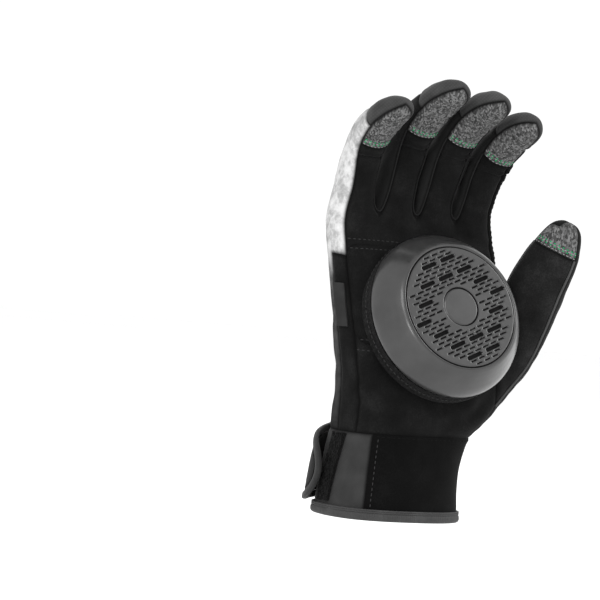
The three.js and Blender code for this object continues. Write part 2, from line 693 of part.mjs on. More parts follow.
// The tape round the keyhole.
const holeSpots = [{ angle: keyholeAngle + keyholeHalf, z: keyholeFoot }];
for (let i = 0; i <= 12; i += 1) {
  const turn = radians(i * 15);
  holeSpots.push({
    angle: keyholeAngle + keyholeHalf * Math.cos(turn),
    z: keyholeRoot + (keyholeTop - keyholeRoot) * Math.sin(turn),
  });
}
holeSpots.push({ angle: keyholeAngle - keyholeHalf, z: keyholeFoot });
const holePath = pathOnSkin(holeSpots.map((spot) => ({ ...spot, lift: pieceGap + keyholeThick / 2 })), false);
add("keyhole_binding", sweep(holePath, tape(keyholeTape, keyholeThick), false), binding);

// The emblem patch with its raised bars, and the loop patch.
const onPatch = (u, v) => [
  mixNumber(...emblemAngles, 1 - u), mixNumber(...emblemHeights, v),
];
const emblemBase = (u) => strapLift(mixNumber(...emblemAngles, 1 - u)) + strapThick + pieceGap;
const raised = (across, place, from, thick) => sheet(across, 2, (u, v) => {
  const [a, b] = place(1 - u, v);
  return onPatch(a, b);
}, (u, v) => emblemBase(place(1 - u, v)[0]) + from, (u, v) => emblemBase(place(1 - u, v)[0]) + from + thick);
add("emblem_patch", raised(8, (u, v) => [u, v], 0, emblemThick), rubber);
let barCount = 0;
emblemRows.forEach((row) => row.bars.forEach(([from, to]) => {
  barCount += 1;
  const place = (u, v) => [mixNumber(from, to, u) + emblemSlant * (v - 0.5), mixNumber(row.from, row.to, v)];
  add("emblem_bar_" + barCount, raised(2, place, emblemThick + pieceGap, barThick), green);
}));
add("loop_patch", sheet(6, 4, (u, v) => [
  mixNumber(...loopAngles, u) + loopSlant * v, mixNumber(...loopHeights, v),
], () => clothGap, () => clothGap + loopThick), fuzzy);
add("side_tag", sheet(2, 4, (u, v) => [
  mixNumber(...tagAngles, u), cuffHeight + mixNumber(...tagHeights, v) * palmLength,
], () => clothGap, () => clothGap + tagThick), rubber);

// The puck's own axes: across, up its face and out of it.
const tilt = radians(puckTilt);
const outOf = vector(0, -Math.cos(tilt), Math.sin(tilt));
const upFace = vector(0, Math.sin(tilt), Math.cos(tilt));
const across = vector(1, 0, 0);
const palmPoint = cast(vector(puckCentre[0], -palmWidth, puckCentre[1]), vector(0, 1, 0), false);

// The skin grown outward and closed at the wrist.
const growth = clothGap + overlayThick + pieceGap;
const grown = skin.points.map((p, i) => p.clone().addScaledVector(normals[i], growth));
const near = grown.map((p) => p.clone().sub(palmPoint)).filter((d) => (
  Math.hypot(d.dot(across), d.dot(upFace)) < discRadius + discMargin
  && d.dot(outOf) > -palmDepth
  && d.x < palmWidth * discSide
));
const discFront = Math.max(...near.map((d) => d.dot(outOf))) + discThin;
const place = (distance) => new THREE.Matrix4()
  .makeBasis(across, upFace, outOf)
  .setPosition(palmPoint.clone().addScaledVector(outOf, distance));
const grownTriangles = skin.faces.flatMap(({ loop: [a, b, c, d] }) => [[a, b, c], [a, c, d]]);
const hemEdges = new Map();
skin.faces.forEach(({ loop }) => loop.forEach((a, i) => {
  const b = loop[(i + 1) % 4];
  hemEdges.set(a + "_" + b, [a, b]);
}));
const wristPoint = grown.push(vector(0, 0, hemHeight)) - 1;
[...hemEdges.values()].filter(([a, b]) => !hemEdges.has(b + "_" + a)).forEach(([a, b]) => {
  grownTriangles.push([b, a, wristPoint]);
});
const lying = new THREE.Matrix4().makeRotationX(Math.PI / 2);
const drum = new THREE.CylinderGeometry(discRadius, discRadius, discDepth, roundSteps)
  .applyMatrix4(lying)
  .translate(0, 0, -discDepth / 2)
  .applyMatrix4(place(discFront));
add("hook_disc", fromBody(toBody(drum).subtract(toBody(solid(grown, grownTriangles)))), fuzzy);

// The puck with its short grooves in parallel courses.
const lathe = new THREE.LatheGeometry(puckProfile.map(([r, z]) => new THREE.Vector2(r, z)), roundSteps)
  .applyMatrix4(lying);
const puckTop = puckProfile[puckProfile.length - 1][1];
const grooves = [];
for (let course = -4; course <= 4; course += 1) {
  for (let k = -3; k <= 3; k += 1) {
    const x = (k + (course % 2 === 0 ? 0 : 0.5)) * groovePitch;
    const y = course * grooveStep;
    const far = Math.hypot(Math.abs(x) + grooveLong / 2, y);
    if (far > fieldRadius || Math.hypot(Math.max(0, Math.abs(x) - grooveLong / 2), y) < hubRadius) continue;
    const groove = new THREE.BoxGeometry(grooveLong, grooveWide, 2 * grooveDeep)
      .translate(x, y, puckTop)
      .rotateZ(radians(grooveSlant));
    grooves.push(toBody(groove));
  }
}
const puck = toBody(lathe).subtract(wasm.Manifold.union(grooves));
add("slide_puck", fromBody(puck).applyMatrix4(place(discFront + pieceGap)), plastic);

export default group;
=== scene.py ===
# A right-hand longboard slide glove in its worn form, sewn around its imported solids.
# Lengths in the tables are millimetres, and every mesh is in metres.
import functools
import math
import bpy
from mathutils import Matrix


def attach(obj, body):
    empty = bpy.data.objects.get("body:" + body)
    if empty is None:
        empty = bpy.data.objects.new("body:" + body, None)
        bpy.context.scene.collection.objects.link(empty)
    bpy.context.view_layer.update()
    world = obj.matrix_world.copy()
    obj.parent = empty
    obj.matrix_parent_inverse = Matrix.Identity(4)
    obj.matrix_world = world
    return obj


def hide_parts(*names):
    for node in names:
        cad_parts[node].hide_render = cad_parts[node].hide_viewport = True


bl_info = {
    "name": "Longboard slide glove",
    "version": (1, 0, 0),
    "blender": (4, 5, 0),
    "location": "View3D > Sidebar > Glove",
    "description": "Sews the panels, bindings, patches and puck of a slide glove around its solids",
    "category": "Add Mesh",
}

import bpy
import numpy as np
from bpy.props import FloatProperty, FloatVectorProperty, PointerProperty
from mathutils import Matrix, Vector, kdtree
from mathutils.bvhtree import BVHTree

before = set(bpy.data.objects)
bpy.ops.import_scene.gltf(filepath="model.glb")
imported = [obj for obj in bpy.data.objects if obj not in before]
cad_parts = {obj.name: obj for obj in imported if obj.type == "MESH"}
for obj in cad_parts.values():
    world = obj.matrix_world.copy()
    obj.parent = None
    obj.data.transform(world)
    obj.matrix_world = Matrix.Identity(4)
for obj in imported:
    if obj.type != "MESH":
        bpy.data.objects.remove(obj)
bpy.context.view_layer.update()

MM = 0.001

# The hand's main sizes.
PALM_WIDTH = 95
PALM_DEPTH = 31
HEM_HEIGHT = 1.2
CUFF_HEIGHT = 46.8
PALM_LENGTH = 111
SHELL_WALL = 1.6
PIECE_GAP = 0.3
CLOTH_GAP = 0.55
MIDDLE_LENGTH = 98
FINGER_WIDTH = 20
FINGER_DEPTH = 18.5

# The rings of the hand's body, as in the solids.
BODY_RINGS = [
    {"up": 0.0, "width": 0.835, "front": 0.94, "back": 0.94, "shift": -0.035, "lean": 0, "thenar": 0},
    {"up": 0.5, "width": 0.785, "front": 0.9, "back": 0.9, "shift": -0.045, "lean": 0, "thenar": 0},
    {"up": 1.0, "width": 0.765, "front": 0.8, "back": 0.78, "shift": 0.02, "lean": 0, "thenar": 0.04},
    {"up": 1.1, "width": 0.775, "front": 0.78, "back": 0.7, "shift": 0.125, "lean": 0.06, "thenar": 0.165},
    {"up": 1.42, "width": 0.92, "front": 0.72, "back": 0.6, "shift": 0.225, "lean": 0.26, "thenar": 0.06},
    {"up": 1.8, "width": 1.08, "front": 0.59, "back": 0.56, "shift": 0.245, "lean": 0.485, "thenar": 0.01},
    {"up": 2.0, "width": 1.07, "front": 0.5, "back": 0.52, "shift": 0.22, "lean": 0.58, "thenar": 0},
]
RING_ACROSS = [-0.9, -0.7, -0.47, -0.24, 0, 0.24, 0.47, 0.7, 0.9]
RING_POWER = 2.6
THUMB_RING = 3
WEB_RISE = 2
WEB_REACH = 3
GUSSET_RISE = 6.5
PALM_ARCH = 0.16
CROTCH_DIP = 0.72
THENAR_FORE = 0.5

# The fingers and their rings.
FINGERS = [
    {"name": "pinky", "length": 0.855, "width": 0.99, "bend": (8, 54, 74), "spread": 1, "roll": 14},
    {"name": "ring", "length": 1.03, "width": 1.03, "bend": (11, 52, 76), "spread": 5.2, "roll": 7},
    {"name": "middle", "length": 1.0, "width": 1.04, "bend": (17, 54, 77), "spread": 5.1, "roll": 0},
    {"name": "index", "length": 0.875, "width": 1.03, "bend": (22, 54, 76), "spread": 5, "roll": -8},
]
FINGER_RINGS = [
    {"along": 0.16, "wide": 0.98, "deep": 1.03, "pad": 45, "twist": 0},
    {"along": 0.36, "wide": 1.03, "deep": 1.07, "pad": 47, "twist": -4},
    {"along": 0.54, "wide": 1.04, "deep": 1.06, "pad": 53, "twist": -10},
    {"along": 0.71, "wide": 1.0, "deep": 0.97, "pad": 60, "twist": -15},
    {"along": 0.86, "wide": 0.91, "deep": 0.84, "pad": 62, "twist": -18},
    {"along": 0.96, "wide": 0.62, "deep": 0.55, "pad": 62, "twist": -18},
]
PHALANX_SHARES = (0.44, 0.3)
LINE_STEPS = 60
JOINT_EASE = 0.1
TIP_PATCH_FROM = 0.6
BACK_PANEL_TO = 0.7
GUARD_TO = 0.5

# The thumb.
THUMB_RINGS = [
    {"out": 0.712, "fore": 0.0, "up": 1.38, "wide": 1.5, "deep": 1.45, "turn": 0.42},
    {"out": 0.755, "fore": 0.1, "up": 1.495, "wide": 1.55, "deep": 1.35, "turn": 0.6},
    {"out": 0.772, "fore": 0.23, "up": 1.61, "wide": 1.6, "deep": 1.25, "turn": 0.78},
    {"out": 0.797, "fore": 0.42, "up": 1.762, "wide": 1.52, "deep": 1.17, "turn": 1},
    {"out": 0.856, "fore": 0.61, "up": 1.915, "wide": 1.36, "deep": 1.02, "turn": 1},
    {"out": 0.9, "fore": 0.71, "up": 2.035, "wide": 0.86, "deep": 0.7, "turn": 1},
    {"out": 0.912, "fore": 0.76, "up": 2.075, "wide": 0, "deep": 0, "turn": 1},
]
THUMB_TIP_FROM = 5
THUMB_PAD = 45
PAD_FROM = (-0.35, -0.93, 0)
ROUNDNESS = 1.1
CORNER = 0.78
SKIN_LEVELS = 4

# How a panel is closed: how far its rim is set back, and how far in from it the seam's shade reaches.
SET_BACK = 0.01
SEAM_SHADE = 1.0

# One stitch: its rings along, their rise and girth, its sides, and the points to one pitch of its row.
STITCH_ALONG = np.array([-0.5, -0.34, 0, 0.34, 0.5])
STITCH_RISE = np.array([-0.5, -0.12, 0.05, -0.12, -0.5])
STITCH_GIRTH = np.array([0.45, 0.9, 1.0, 0.9, 0.45])
STITCH_SIDES = 6
STITCH_STEPS = 4
STITCH_EASE = 3

# The cuff's strap, patches and bindings: angles are about +Z in degrees, 0 at the thumb's side.
STRAP_FROM = 34
STRAP_TO = 177
STRAP_ROUND = 26
STRAP_LOW = 11.6
STRAP_HIGH = 43.7
STRAP_THICK = 2.0
STRAP_FLARE = 5.4
FLARE_FROM = 124
STRAP_DROP = 6
HANG_FROM = 126
HANG_SHARES = {"least": 0.5, "more": 0.9}
END_SHARE = 0.14
STRAP_SHEET = {"size": (95, 33), "cells": (90, 26), "round": 0.9, "ease": 1.35, "puff": 0.35, "sunk": 0.3}
STRAP_ROWS = {"at": (0.075, 0.925), "from": 0.02, "to": 0.93, "count": 70, "lift": 0.02}
TAPE_WIDE = 3.8
TAPE_THICK = 2.7
TAPE = {"step": 0.5, "rib": 1.5, "rib_deep": 0.05, "ease": 4, "straight": 40, "turn": 5, "start": -85}
SHARP_TAPE = 60
UV_SCALE = 0.1
DEGREES_PER_MM = 1.75
KEYHOLE = {"angle": 51, "half": 13, "foot": 49.6, "root": 56.5, "top": 67, "share": 0.74}
KEYHOLE_CUT = {"steps": 11, "under_tape": 2.2, "over_strap": 2, "outside": -0.5}
KEYHOLE_TURN = 7.5
KEYHOLE_TAPE = 3.2
KEYHOLE_THICK = 2.0
EMBLEM_ANGLES = (70, 140)
EMBLEM_HEIGHTS = (12.9, 42.4)
EMBLEM_THICK = 1.3
EMBLEM_ROWS = [
    {"from": 0.55, "to": 0.9, "bars": [(0.06, 0.27), (0.33, 0.45), (0.51, 0.72), (0.78, 0.93)]},
    {"from": 0.1, "to": 0.45, "bars": [(0.06, 0.19), (0.25, 0.49), (0.55, 0.67), (0.73, 0.93)]},
]
EMBLEM_SLANT = 0.05
EMBLEM_SHEET = {"size": (45, 30), "cells": (70, 46), "round": 0.5, "sunk": 0.35}
EMBLEM_RIM = {"high": 0.45, "from": 2.2, "to": 1.6}
BAR_THICK = 0.9
BAR_SHEET = {"cells": (8, 10), "round": 0.45, "sunk": 0.1, "raised": 0.3}
LOOP = {"angles": (170, 187), "slant": 7, "heights": (7.8, 43.6), "thick": 1.2}
LOOP_SHEET = {"size": (11, 33), "cells": (36, 100), "round": 0.6, "sunk": 0.2}
LOOP_SHAG = [{"high": 0.22, "size": 0.9, "seed": 11}, {"high": 0.12, "size": 2.4, "seed": 12}]
SHARP_LOOP = 180
TAG = {"angles": (186, 194.5), "heights": (0.47, 0.672), "thick": 0.9}
TAG_SHEET = {"size": (6, 21), "cells": (10, 30), "round": 0.35, "sunk": 0.3}

# The second layer on the palm, its pinky side's edge by height, and its thumb side.
OVERLAY = {"low": 90.2, "high": 142.3, "corner": 7, "thick": 1.0, "sunk": 0.35, "tuck": 0.75, "soft": 0.7}
OVERLAY_EDGE = {"heights": [92, 124, 149], "across": [-31.5, -35.4, -39.0], "right": 52, "ease": -9}

# The hem's ribs, and its section: how far up from the cuff's lower end and out from the skin.
HEM_STEP = 0.32
HEM_RIB = {"pitch": 1.28, "deep": 0.12, "from": 0.4, "to": 5.0, "top": 4}
HEM_INSIDE = -SHELL_WALL - PIECE_GAP
HEM_OUTER = [
    (5.0, 0.5), (4.9, 0.95), (4.6, 1.15), (4.3, 1.05), (4.1, 0.82), (3.9, 1.02), (3.6, 1.16),
    (3.3, 1.02), (3.1, 0.75), (2.9, 0.95), (2.3, 1.25), (1.4, 1.38), (0.5, 1.38), (-0.3, 1.15),
    (-0.8, 0.55), (-1.0, -0.4),
]
HEM_INNER = [
    (-1.0, HEM_INSIDE + 0.1), (-0.85, HEM_INSIDE - 0.65), (-0.3, HEM_INSIDE - 0.95),
    (0.6, HEM_INSIDE - 1.0), (4.4, HEM_INSIDE - 0.95), (5.0, HEM_INSIDE - 0.6), (5.0, HEM_INSIDE),
    (-0.12, HEM_INSIDE), (-0.12, PIECE_GAP), (5.0, PIECE_GAP),
]

# The threads by their share of the stitch, and how far each row is from its seam or border.
THREADS = {
    "dark": {"long": 1, "gap": 1, "thick": 1, "slot": "suede"},
    "grey": {"long": 1, "gap": 1, "thick": 0.9, "slot": "suede"},
    "green": {"long": 0.7, "gap": 1.4, "thick": 0.95, "slot": "heather_knit"},
    "light": {"long": 0.8, "gap": 0.8, "thick": 0.95, "slot": "heather_knit"},
}
GUARD_ROWS = (1.9, 4.6)
CUFF_SIDE_ROWS = (3.0,)
CUFF_TOP_ROWS = (1.3,)
TIP_ROWS = {"green": (2.3, 3.9), "light": (0.9, 3.1)}
OVERLAY_ROWS = {"low": 2.6, "high": 2.4, "until": 46}
PALM_ROWS = {"over": 2.6, "over_until": -8, "under": 2.8, "under_until": 30, "front_of": 5}
ROW_MARGIN = 1.5
PIPING = {"sunk": 0.15, "step": 1.2, "flat": 0.92, "sides": 10, "ease": 6, "ease_again": 4}
PIPING_RUNS = 2
PIPING_THICK = 1.3
RAISED_SEAM_THICK = 0.9

# The puck's profile from its foot to its face, by radius and height.
PUCK_PROFILE = [
    (43.7, 0.0), (44.3, 0.25), (44.6, 0.9), (44.6, 1.9), (44.4, 3.1), (43.9, 4.6),
    (43.2, 6.1), (42.3, 7.7), (41.2, 9.3), (40.1, 10.9), (38.9, 12.5), (37.7, 14.1), (36.6, 15.4),
    (35.7, 16.4), (34.8, 17.0), (34.0, 17.3), (33.3, 17.4),
]
PUCK_TILT = 22
FIELD_RADIUS = 33.2
HUB_RADIUS = 11.4

# The disc: its front's rings by radius and depth, its wall down to the palm, its back and its fuzz.
DISC_RADIUS = 44.2
DISC_DEPTH = 8.5
DISC_SIDES = 360
DISC_CAP = 20
DISC_FRONT = [
    (DISC_CAP, 0), (DISC_RADIUS - 1.8, 0), (DISC_RADIUS - 0.7, 0.05), (DISC_RADIUS - 0.15, 0.25),
    (DISC_RADIUS, 0.7), (DISC_RADIUS - 0.05, 1.2),
]
DISC_FRONT_LIMIT = 0.9
DISC_WALL = {
    "shares": (0.3, 0.5, 0.7, 0.86, 1.0), "in": 0.1, "swell": 0.35, "power": 3, "lip": 1.3, "end": 1.35,
}
DISC_BACK = {"in": 2, "deep": 1.4}
DISC_SHAG = {"high": 0.12, "size": 1.1, "seed": 21, "first": 2, "last": 9}
DISC_EASE = 3
DISC_STITCHES = {"deep": 4.4, "over_palm": 0.4, "out": 0.3}
FOOT_REACH = 0.05

# The tread: main and fine grooves in courses, and a line round the field and round the hub.
GROOVE_SLANT = 24
GROOVES = {"wide": 1.8, "deep": 1.2, "step": 8.7, "long": 10, "pitch": 13.2}
FINE_SKIP = 4
FINE_GROOVES = {"wide": 0.85, "deep": 0.7, "step": 8.7 / FINE_SKIP, "long": 4.5, "pitch": 5.6}
FINE_MARGIN = {"rim": 1, "hub": 0.2}
GROOVE_WALL = {"edge": 1.25, "bevel": 0.5, "power": 0.7}
GROOVED_FROM = 0.4
RIM_LINE = {"deep": 0.8, "in": 0.1, "wide": 0.45}
HUB_LINE = {"deep": 0.8, "in": 1.2, "wide": 0.4}
LINE_POWER = 4
PUCK_SIDES = 480
TREAD_STEP = 0.36
TREAD_REACH = {"past": 0.9, "end": 0.4}
SHOULDER_PAST = 1
SHARP_PUCK = 80


def smooth(x, low, high):
    """A share from 0 at low to 1 at high, eased at both ends."""
    t = np.clip((np.asarray(x, float) - low) / (high - low), 0, 1)
    return t * t * (3 - 2 * t)


def unit(v):
    """Vectors of length 1, along the last axis."""
    v = np.asarray(v, float)
    return v / np.maximum(np.linalg.norm(v, axis=-1, keepdims=True), 1e-12)


def between(ends, share):
    """The value at a share of the way between two ends."""
    return ends[0] + (ends[1] - ends[0]) * share


def turned(v, axis, degrees):
    """A vector turned about an axis."""
    return np.array(Matrix.Rotation(math.radians(degrees), 3, Vector(axis)) @ Vector(v))


def circle(count):
    """Angles at even steps round a circle."""
    return np.arange(count) * 2 * math.pi / count


def distances(p):
    """How far along a line each of its points is."""
    return np.concatenate([[0], np.cumsum(np.linalg.norm(np.diff(p, axis=0), axis=1))])


def lattice(rows, count, around=False):
    """Quads between rows of points. Each row closes on itself, and around closes the rows too."""
    last = rows if around else rows - 1
    i, j = np.meshgrid(np.arange(last), np.arange(count), indexing="ij")
    k, m = (i + 1) % rows, (j + 1) % count
    return np.stack([i * count + j, i * count + m, k * count + m, k * count + j], -1).reshape(-1, 4)


def ring_height(up):
    """The height of a ring of the hand's body: up counts in cuffs and then in palms."""
    if up <= 1:
        return HEM_HEIGHT + (CUFF_HEIGHT - HEM_HEIGHT) * up
    return CUFF_HEIGHT + (up - 1) * PALM_LENGTH


def body_ring(row, web, is_crotch):
    """The 20 points of one ring of the hand's body."""
    half = row["width"] * PALM_WIDTH / 2
    arch = max(0, row["up"] - 1) * PALM_ARCH * PALM_DEPTH

    def at(x, y):
        swell = row["thenar"] * PALM_WIDTH * smooth(x, 0.2, 1)
        reach = web * smooth(x, 0.6, 1)
        return np.array([
            row["shift"] * PALM_DEPTH + half * x + swell + WEB_REACH * reach,
            row["lean"] * PALM_DEPTH + y - arch * x * x - THENAR_FORE * swell,
            ring_height(row["up"]) + WEB_RISE * reach + GUSSET_RISE * web * smooth(-x, 0.6, 1),
        ])

    def side(depth):
        spots = []
        for k, x in enumerate(RING_ACROSS):
            bulge = (1 - abs(x) ** RING_POWER) ** (1 / RING_POWER)
            dip = CROTCH_DIP if is_crotch and k % 2 == 0 and 0 < k < 8 else 1
            spots.append(at(x, depth * PALM_DEPTH * bulge * dip))
        return spots

    return side(-row["front"]) + [at(1, 0)] + side(row["back"])[::-1] + [at(-1, 0)]


def tube_ring(centre, s, n, wide, deep, pad):
    """The eight points of a finger's ring: s points to the index side and n out of the pad."""
    edge = math.hypot(CORNER, CORNER)
    aside = edge * math.sin(math.radians(pad))
    forward = edge * math.cos(math.radians(pad))
    shape = [
        (-aside, forward), (0, 1), (aside, forward), (1, 0),
        (CORNER, -CORNER), (0, -1), (-CORNER, -CORNER), (-1, 0),
    ]
    return [
        centre + s * (x * wide / 2 * ROUNDNESS) + n * (y * deep / 2 * ROUNDNESS)
        for x, y in shape
    ]


def finger_bend(finger, t):
    """The angle from +Z at a share of a finger's length."""
    first, second, third = finger["bend"]
    knee, last = PHALANX_SHARES[0], sum(PHALANX_SHARES)
    eased = (second - first) * smooth(t - knee, -JOINT_EASE, JOINT_EASE)
    return first + eased + (third - second) * smooth(t - last, -JOINT_EASE, JOINT_EASE)


def heading(finger, t):
    """The way a finger points at a share of its length."""
    b, spread = math.radians(finger_bend(finger, t)), math.radians(finger["spread"])
    return np.array([
        math.cos(b) * math.sin(spread), -math.sin(b), math.cos(b) * math.cos(spread),
    ])


@functools.lru_cache(maxsize=1)
def cage():
    """The coarse hand: its points, its faces with their panels, and the fingers' lines."""
    points, faces, lines = [], [], {}

    def add(p):
        points.append(np.asarray(p, float))
        return len(points) - 1

    def join(a, b, panel_of):
        for j in range(len(a)):
            k = (j + 1) % len(a)
            panel = panel_of(j)
            if panel:
                faces.append(((a[j], a[k], b[k], b[j]), panel))

    def close(ring, tip, panel_of):
        c = add(tip)
        for j in range(0, 8, 2):
            faces.append(((ring[j], ring[(j + 1) % 8], ring[(j + 2) % 8], c), panel_of(j)))

    def body_panel(i, j):
        if THUMB_RING <= i < thumb_top and j in (8, 9):
            return None
        if i < 2:
            return "cuff_front" if 0 < j < 8 else "cuff_back"
        if j < 8:
            return "palm_panel"
        if j < 11:
            return "thumb_back" if i <= THUMB_RING else "web_guard"
        if j < 19 or i > 4:
            return "back_panel"
        return "side_gusset"

    thumb_top = THUMB_RING + 2
    last = len(BODY_RINGS) - 1
    body = [
        [add(p) for p in body_ring(row, 1 if i == thumb_top else 0, i == last)]
        for i, row in enumerate(BODY_RINGS)
    ]
    for i in range(last):
        join(body[i], body[i + 1], lambda j: body_panel(i, j))

    crotch = body[last]
    middles = []
    for f, finger in enumerate(FINGERS):
        left = crotch[19] if f == 0 else middles[f - 1]
        if f < 3:
            middle = (points[crotch[2 * f + 2]] + points[crotch[16 - 2 * f]]) / 2
            middles.append(add(middle + (0, 0, 1)))
        right = crotch[9] if f == 3 else middles[f]
        ring = [
            crotch[2 * f], crotch[2 * f + 1], crotch[2 * f + 2], right,
            crotch[16 - 2 * f], crotch[17 - 2 * f], crotch[18 - 2 * f], left,
        ]
        length = finger["length"] * MIDDLE_LENGTH
        steps = LINE_STEPS
        line = [np.mean([points[i] for i in ring], axis=0)]
        for i in range(steps):
            line.append(line[-1] + heading(finger, (i + 0.5) / steps) * length / steps)
        line = np.array(line)
        lines[finger["name"]] = line

        def centre_at(t):
            i = min(steps - 1, int(t * steps))
            return line[i] + (line[i + 1] - line[i]) * (t * steps - i)

        def finger_panel(along, j):
            if j < 2:
                return "palm_panel" if along < TIP_PATCH_FROM else "tip_patch_" + finger["name"]
            if along >= BACK_PANEL_TO:
                return "tip_cap_" + finger["name"]
            if f == 3 and j < 5 and along < GUARD_TO:
                return "web_guard"
            if j < 4:
                return "index_side" if f == 3 else f"fourchette_{f}"
            if j < 6 or f == 0:
                return "back_panel"
            return f"fourchette_{f - 1}"

        before = 0
        for row in FINGER_RINGS:
            t = heading(finger, row["along"])
            across = turned((1, 0, 0), (0, 1, 0), finger["spread"])
            s = turned(across, t, finger["roll"] + row["twist"])
            s = unit(s - t * s.dot(t))
            wide = row["wide"] * finger["width"] * FINGER_WIDTH
            deep = row["deep"] * finger["width"] * FINGER_DEPTH
            shape = tube_ring(centre_at(row["along"]), s, np.cross(s, t), wide, deep, row["pad"])
            after = [add(p) for p in shape]
            along = (before + row["along"]) / 2
            join(ring, after, lambda j: finger_panel(along, j))
            ring, before = after, row["along"]
        close(ring, centre_at(1), lambda j: finger_panel(1, j))

    low, mid, high = body[THUMB_RING], body[THUMB_RING + 1], body[thumb_top]
    ring = [high[8], mid[8], low[8], low[9], low[10], mid[10], high[10], high[9]]
    centres = [
        np.array([row["out"] * PALM_WIDTH, -row["fore"] * PALM_DEPTH, ring_height(row["up"])])
        for row in THUMB_RINGS
    ]

    def thumb_panel(i, j):
        if j > 4 and i < 3:
            return "web_guard"
        if 1 < j < 7:
            return "thumb_back"
        return "thumb_front" if i < THUMB_TIP_FROM else "tip_patch_thumb"

    pad_from = np.array(PAD_FROM)
    for i, row in enumerate(THUMB_RINGS[:-1]):
        along = unit(centres[i + 1] - centres[max(0, i - 1)])
        t = unit(np.array([1, 0, 0]) * (1 - row["turn"]) + along * row["turn"])
        n = unit(pad_from - t * pad_from.dot(t))
        wide, deep = row["wide"] * FINGER_WIDTH, row["deep"] * FINGER_DEPTH
        shape = tube_ring(centres[i], np.cross(t, n), n, wide, deep, THUMB_PAD)
        after = [add(p) for p in shape]
        join(ring, after, lambda j: thumb_panel(i, j))
        ring = after
    close(ring, centres[-1], lambda j: thumb_panel(len(THUMB_RINGS), j))
    lines["thumb"] = np.array(centres)
    return np.array(points), faces, lines


@functools.lru_cache(maxsize=1)
def skin():
    """The fine hand: its points, normals and quads, each quad's panel, and the panels' names."""
    points, faces, _ = cage()
    names = sorted({panel for _, panel in faces})
    mesh = bpy.data.meshes.new("cage")
    mesh.from_pydata([tuple(p) for p in points], [], [loop for loop, _ in faces])
    mesh.polygons.foreach_set("material_index", [names.index(panel) for _, panel in faces])
    for _ in names:
        mesh.materials.append(None)
    obj = bpy.data.objects.new("cage", mesh)
    bpy.context.scene.collection.objects.link(obj)
    subdivision = obj.modifiers.new("skin", "SUBSURF")
    subdivision.levels = SKIN_LEVELS
    fine = obj.evaluated_get(bpy.context.evaluated_depsgraph_get()).to_mesh()
    p = np.zeros(len(fine.vertices) * 3)
    fine.vertices.foreach_get("co", p)
    p = p.reshape(-1, 3)
    quads = np.zeros(len(fine.loops), int)
    fine.loops.foreach_get("vertex_index", quads)
    quads = quads.reshape(-1, 4)
    panel = np.zeros(len(fine.polygons), int)
    fine.polygons.foreach_get("material_index", panel)
    bpy.data.objects.remove(obj)
    bpy.data.meshes.remove(mesh)
    return {"p": p, "n": normals_of(p, quads), "f": quads, "panel": panel, "names": names}


def normals_of(p, faces):
    """Each point's normal, from the faces that meet there."""
    a, b, c, d = (p[faces[:, k]] for k in (0, 1, 2, -1))
    face = np.cross(c - a, d - b)
    n = np.zeros_like(p)
    for k in range(faces.shape[1]):
        np.add.at(n, faces[:, k], face)
    return unit(n)


@functools.lru_cache(maxsize=1)
def skin_tree():
    """The folded skin, to find points on it."""
    s = skin()
    return BVHTree.FromPolygons([tuple(q) for q in s["p"] + s["n"] * folds()[:, None]], s["f"].tolist())


RIPPLE_WAVES = 18
RIPPLE_RANGE = (0.6, 1.3)


def ripple(p, size, seed):
    """A smooth random height at each point, from about -1 to 1, with bumps of about one size."""
    random = np.random.default_rng(seed)
    ways = unit(random.normal(size=(RIPPLE_WAVES, 3))) * (2 * math.pi / size)
    ways *= random.uniform(*RIPPLE_RANGE, size=(RIPPLE_WAVES, 1))
    phases = random.uniform(0, 2 * math.pi, RIPPLE_WAVES)
    return np.cos(p @ ways.T + phases).sum(1) / math.sqrt(RIPPLE_WAVES)


def nearest(points, spots):
    """The distance from each point to the nearest of some spots, and which spot that is."""
    tree = kdtree.KDTree(len(spots))
    for i, q in enumerate(spots):
        tree.insert(q, i)
    tree.balance()
    found = [tree.find(q) for q in points]
    return np.array([f[2] for f in found]), np.array([f[1] for f in found])


# The loose cloth's broad folds and small ones, and the heights between which they begin.
LOOSE_FOLDS = [{"high": 0.28, "size": 26, "seed": 3}, {"high": 0.13, "size": 9, "seed": 4}]
LOOSE_FROM = (6, 50)
# Creases in the cloth: the side that they are on, the ends across and up, how far the middle is
# pulled down, and their width and depth.
CREASES = [
    {"side": -1, "from": (-33, 64), "to": (-12, 56), "sag": 2, "wide": 2.6, "deep": 0.7},
    {"side": -1, "from": (-36, 78), "to": (-20, 70), "sag": 2, "wide": 3.0, "deep": 0.5},
    {"side": -1, "from": (14, 51), "to": (44, 66), "sag": 3, "wide": 3.2, "deep": 0.8},
    {"side": -1, "from": (26, 51), "to": (52, 74), "sag": 2, "wide": 2.8, "deep": 0.6},
    {"side": -1, "from": (-30, 154), "to": (-8, 150), "sag": -2, "wide": 2.6, "deep": 0.6},
    {"side": -1, "from": (30, 154), "to": (54, 146), "sag": 2, "wide": 2.6, "deep": 0.7},
    {"side": 1, "from": (-30, 66), "to": (-4, 60), "sag": 3, "wide": 3.0, "deep": 0.7},
    {"side": 1, "from": (-34, 80), "to": (-10, 70), "sag": 4, "wide": 3.4, "deep": 0.5},
    {"side": 1, "from": (34, 66), "to": (50, 88), "sag": -3, "wide": 3.2, "deep": 0.7},
    {"side": 1, "from": (-12, 154), "to": (-10, 132), "sag": 0, "wide": 4.0, "deep": 0.8},
    {"side": 1, "from": (9, 156), "to": (10, 132), "sag": 0, "wide": 4.0, "deep": 0.8},
    {"side": 1, "from": (30, 154), "to": (30, 130), "sag": 0, "wide": 4.0, "deep": 0.8},
]
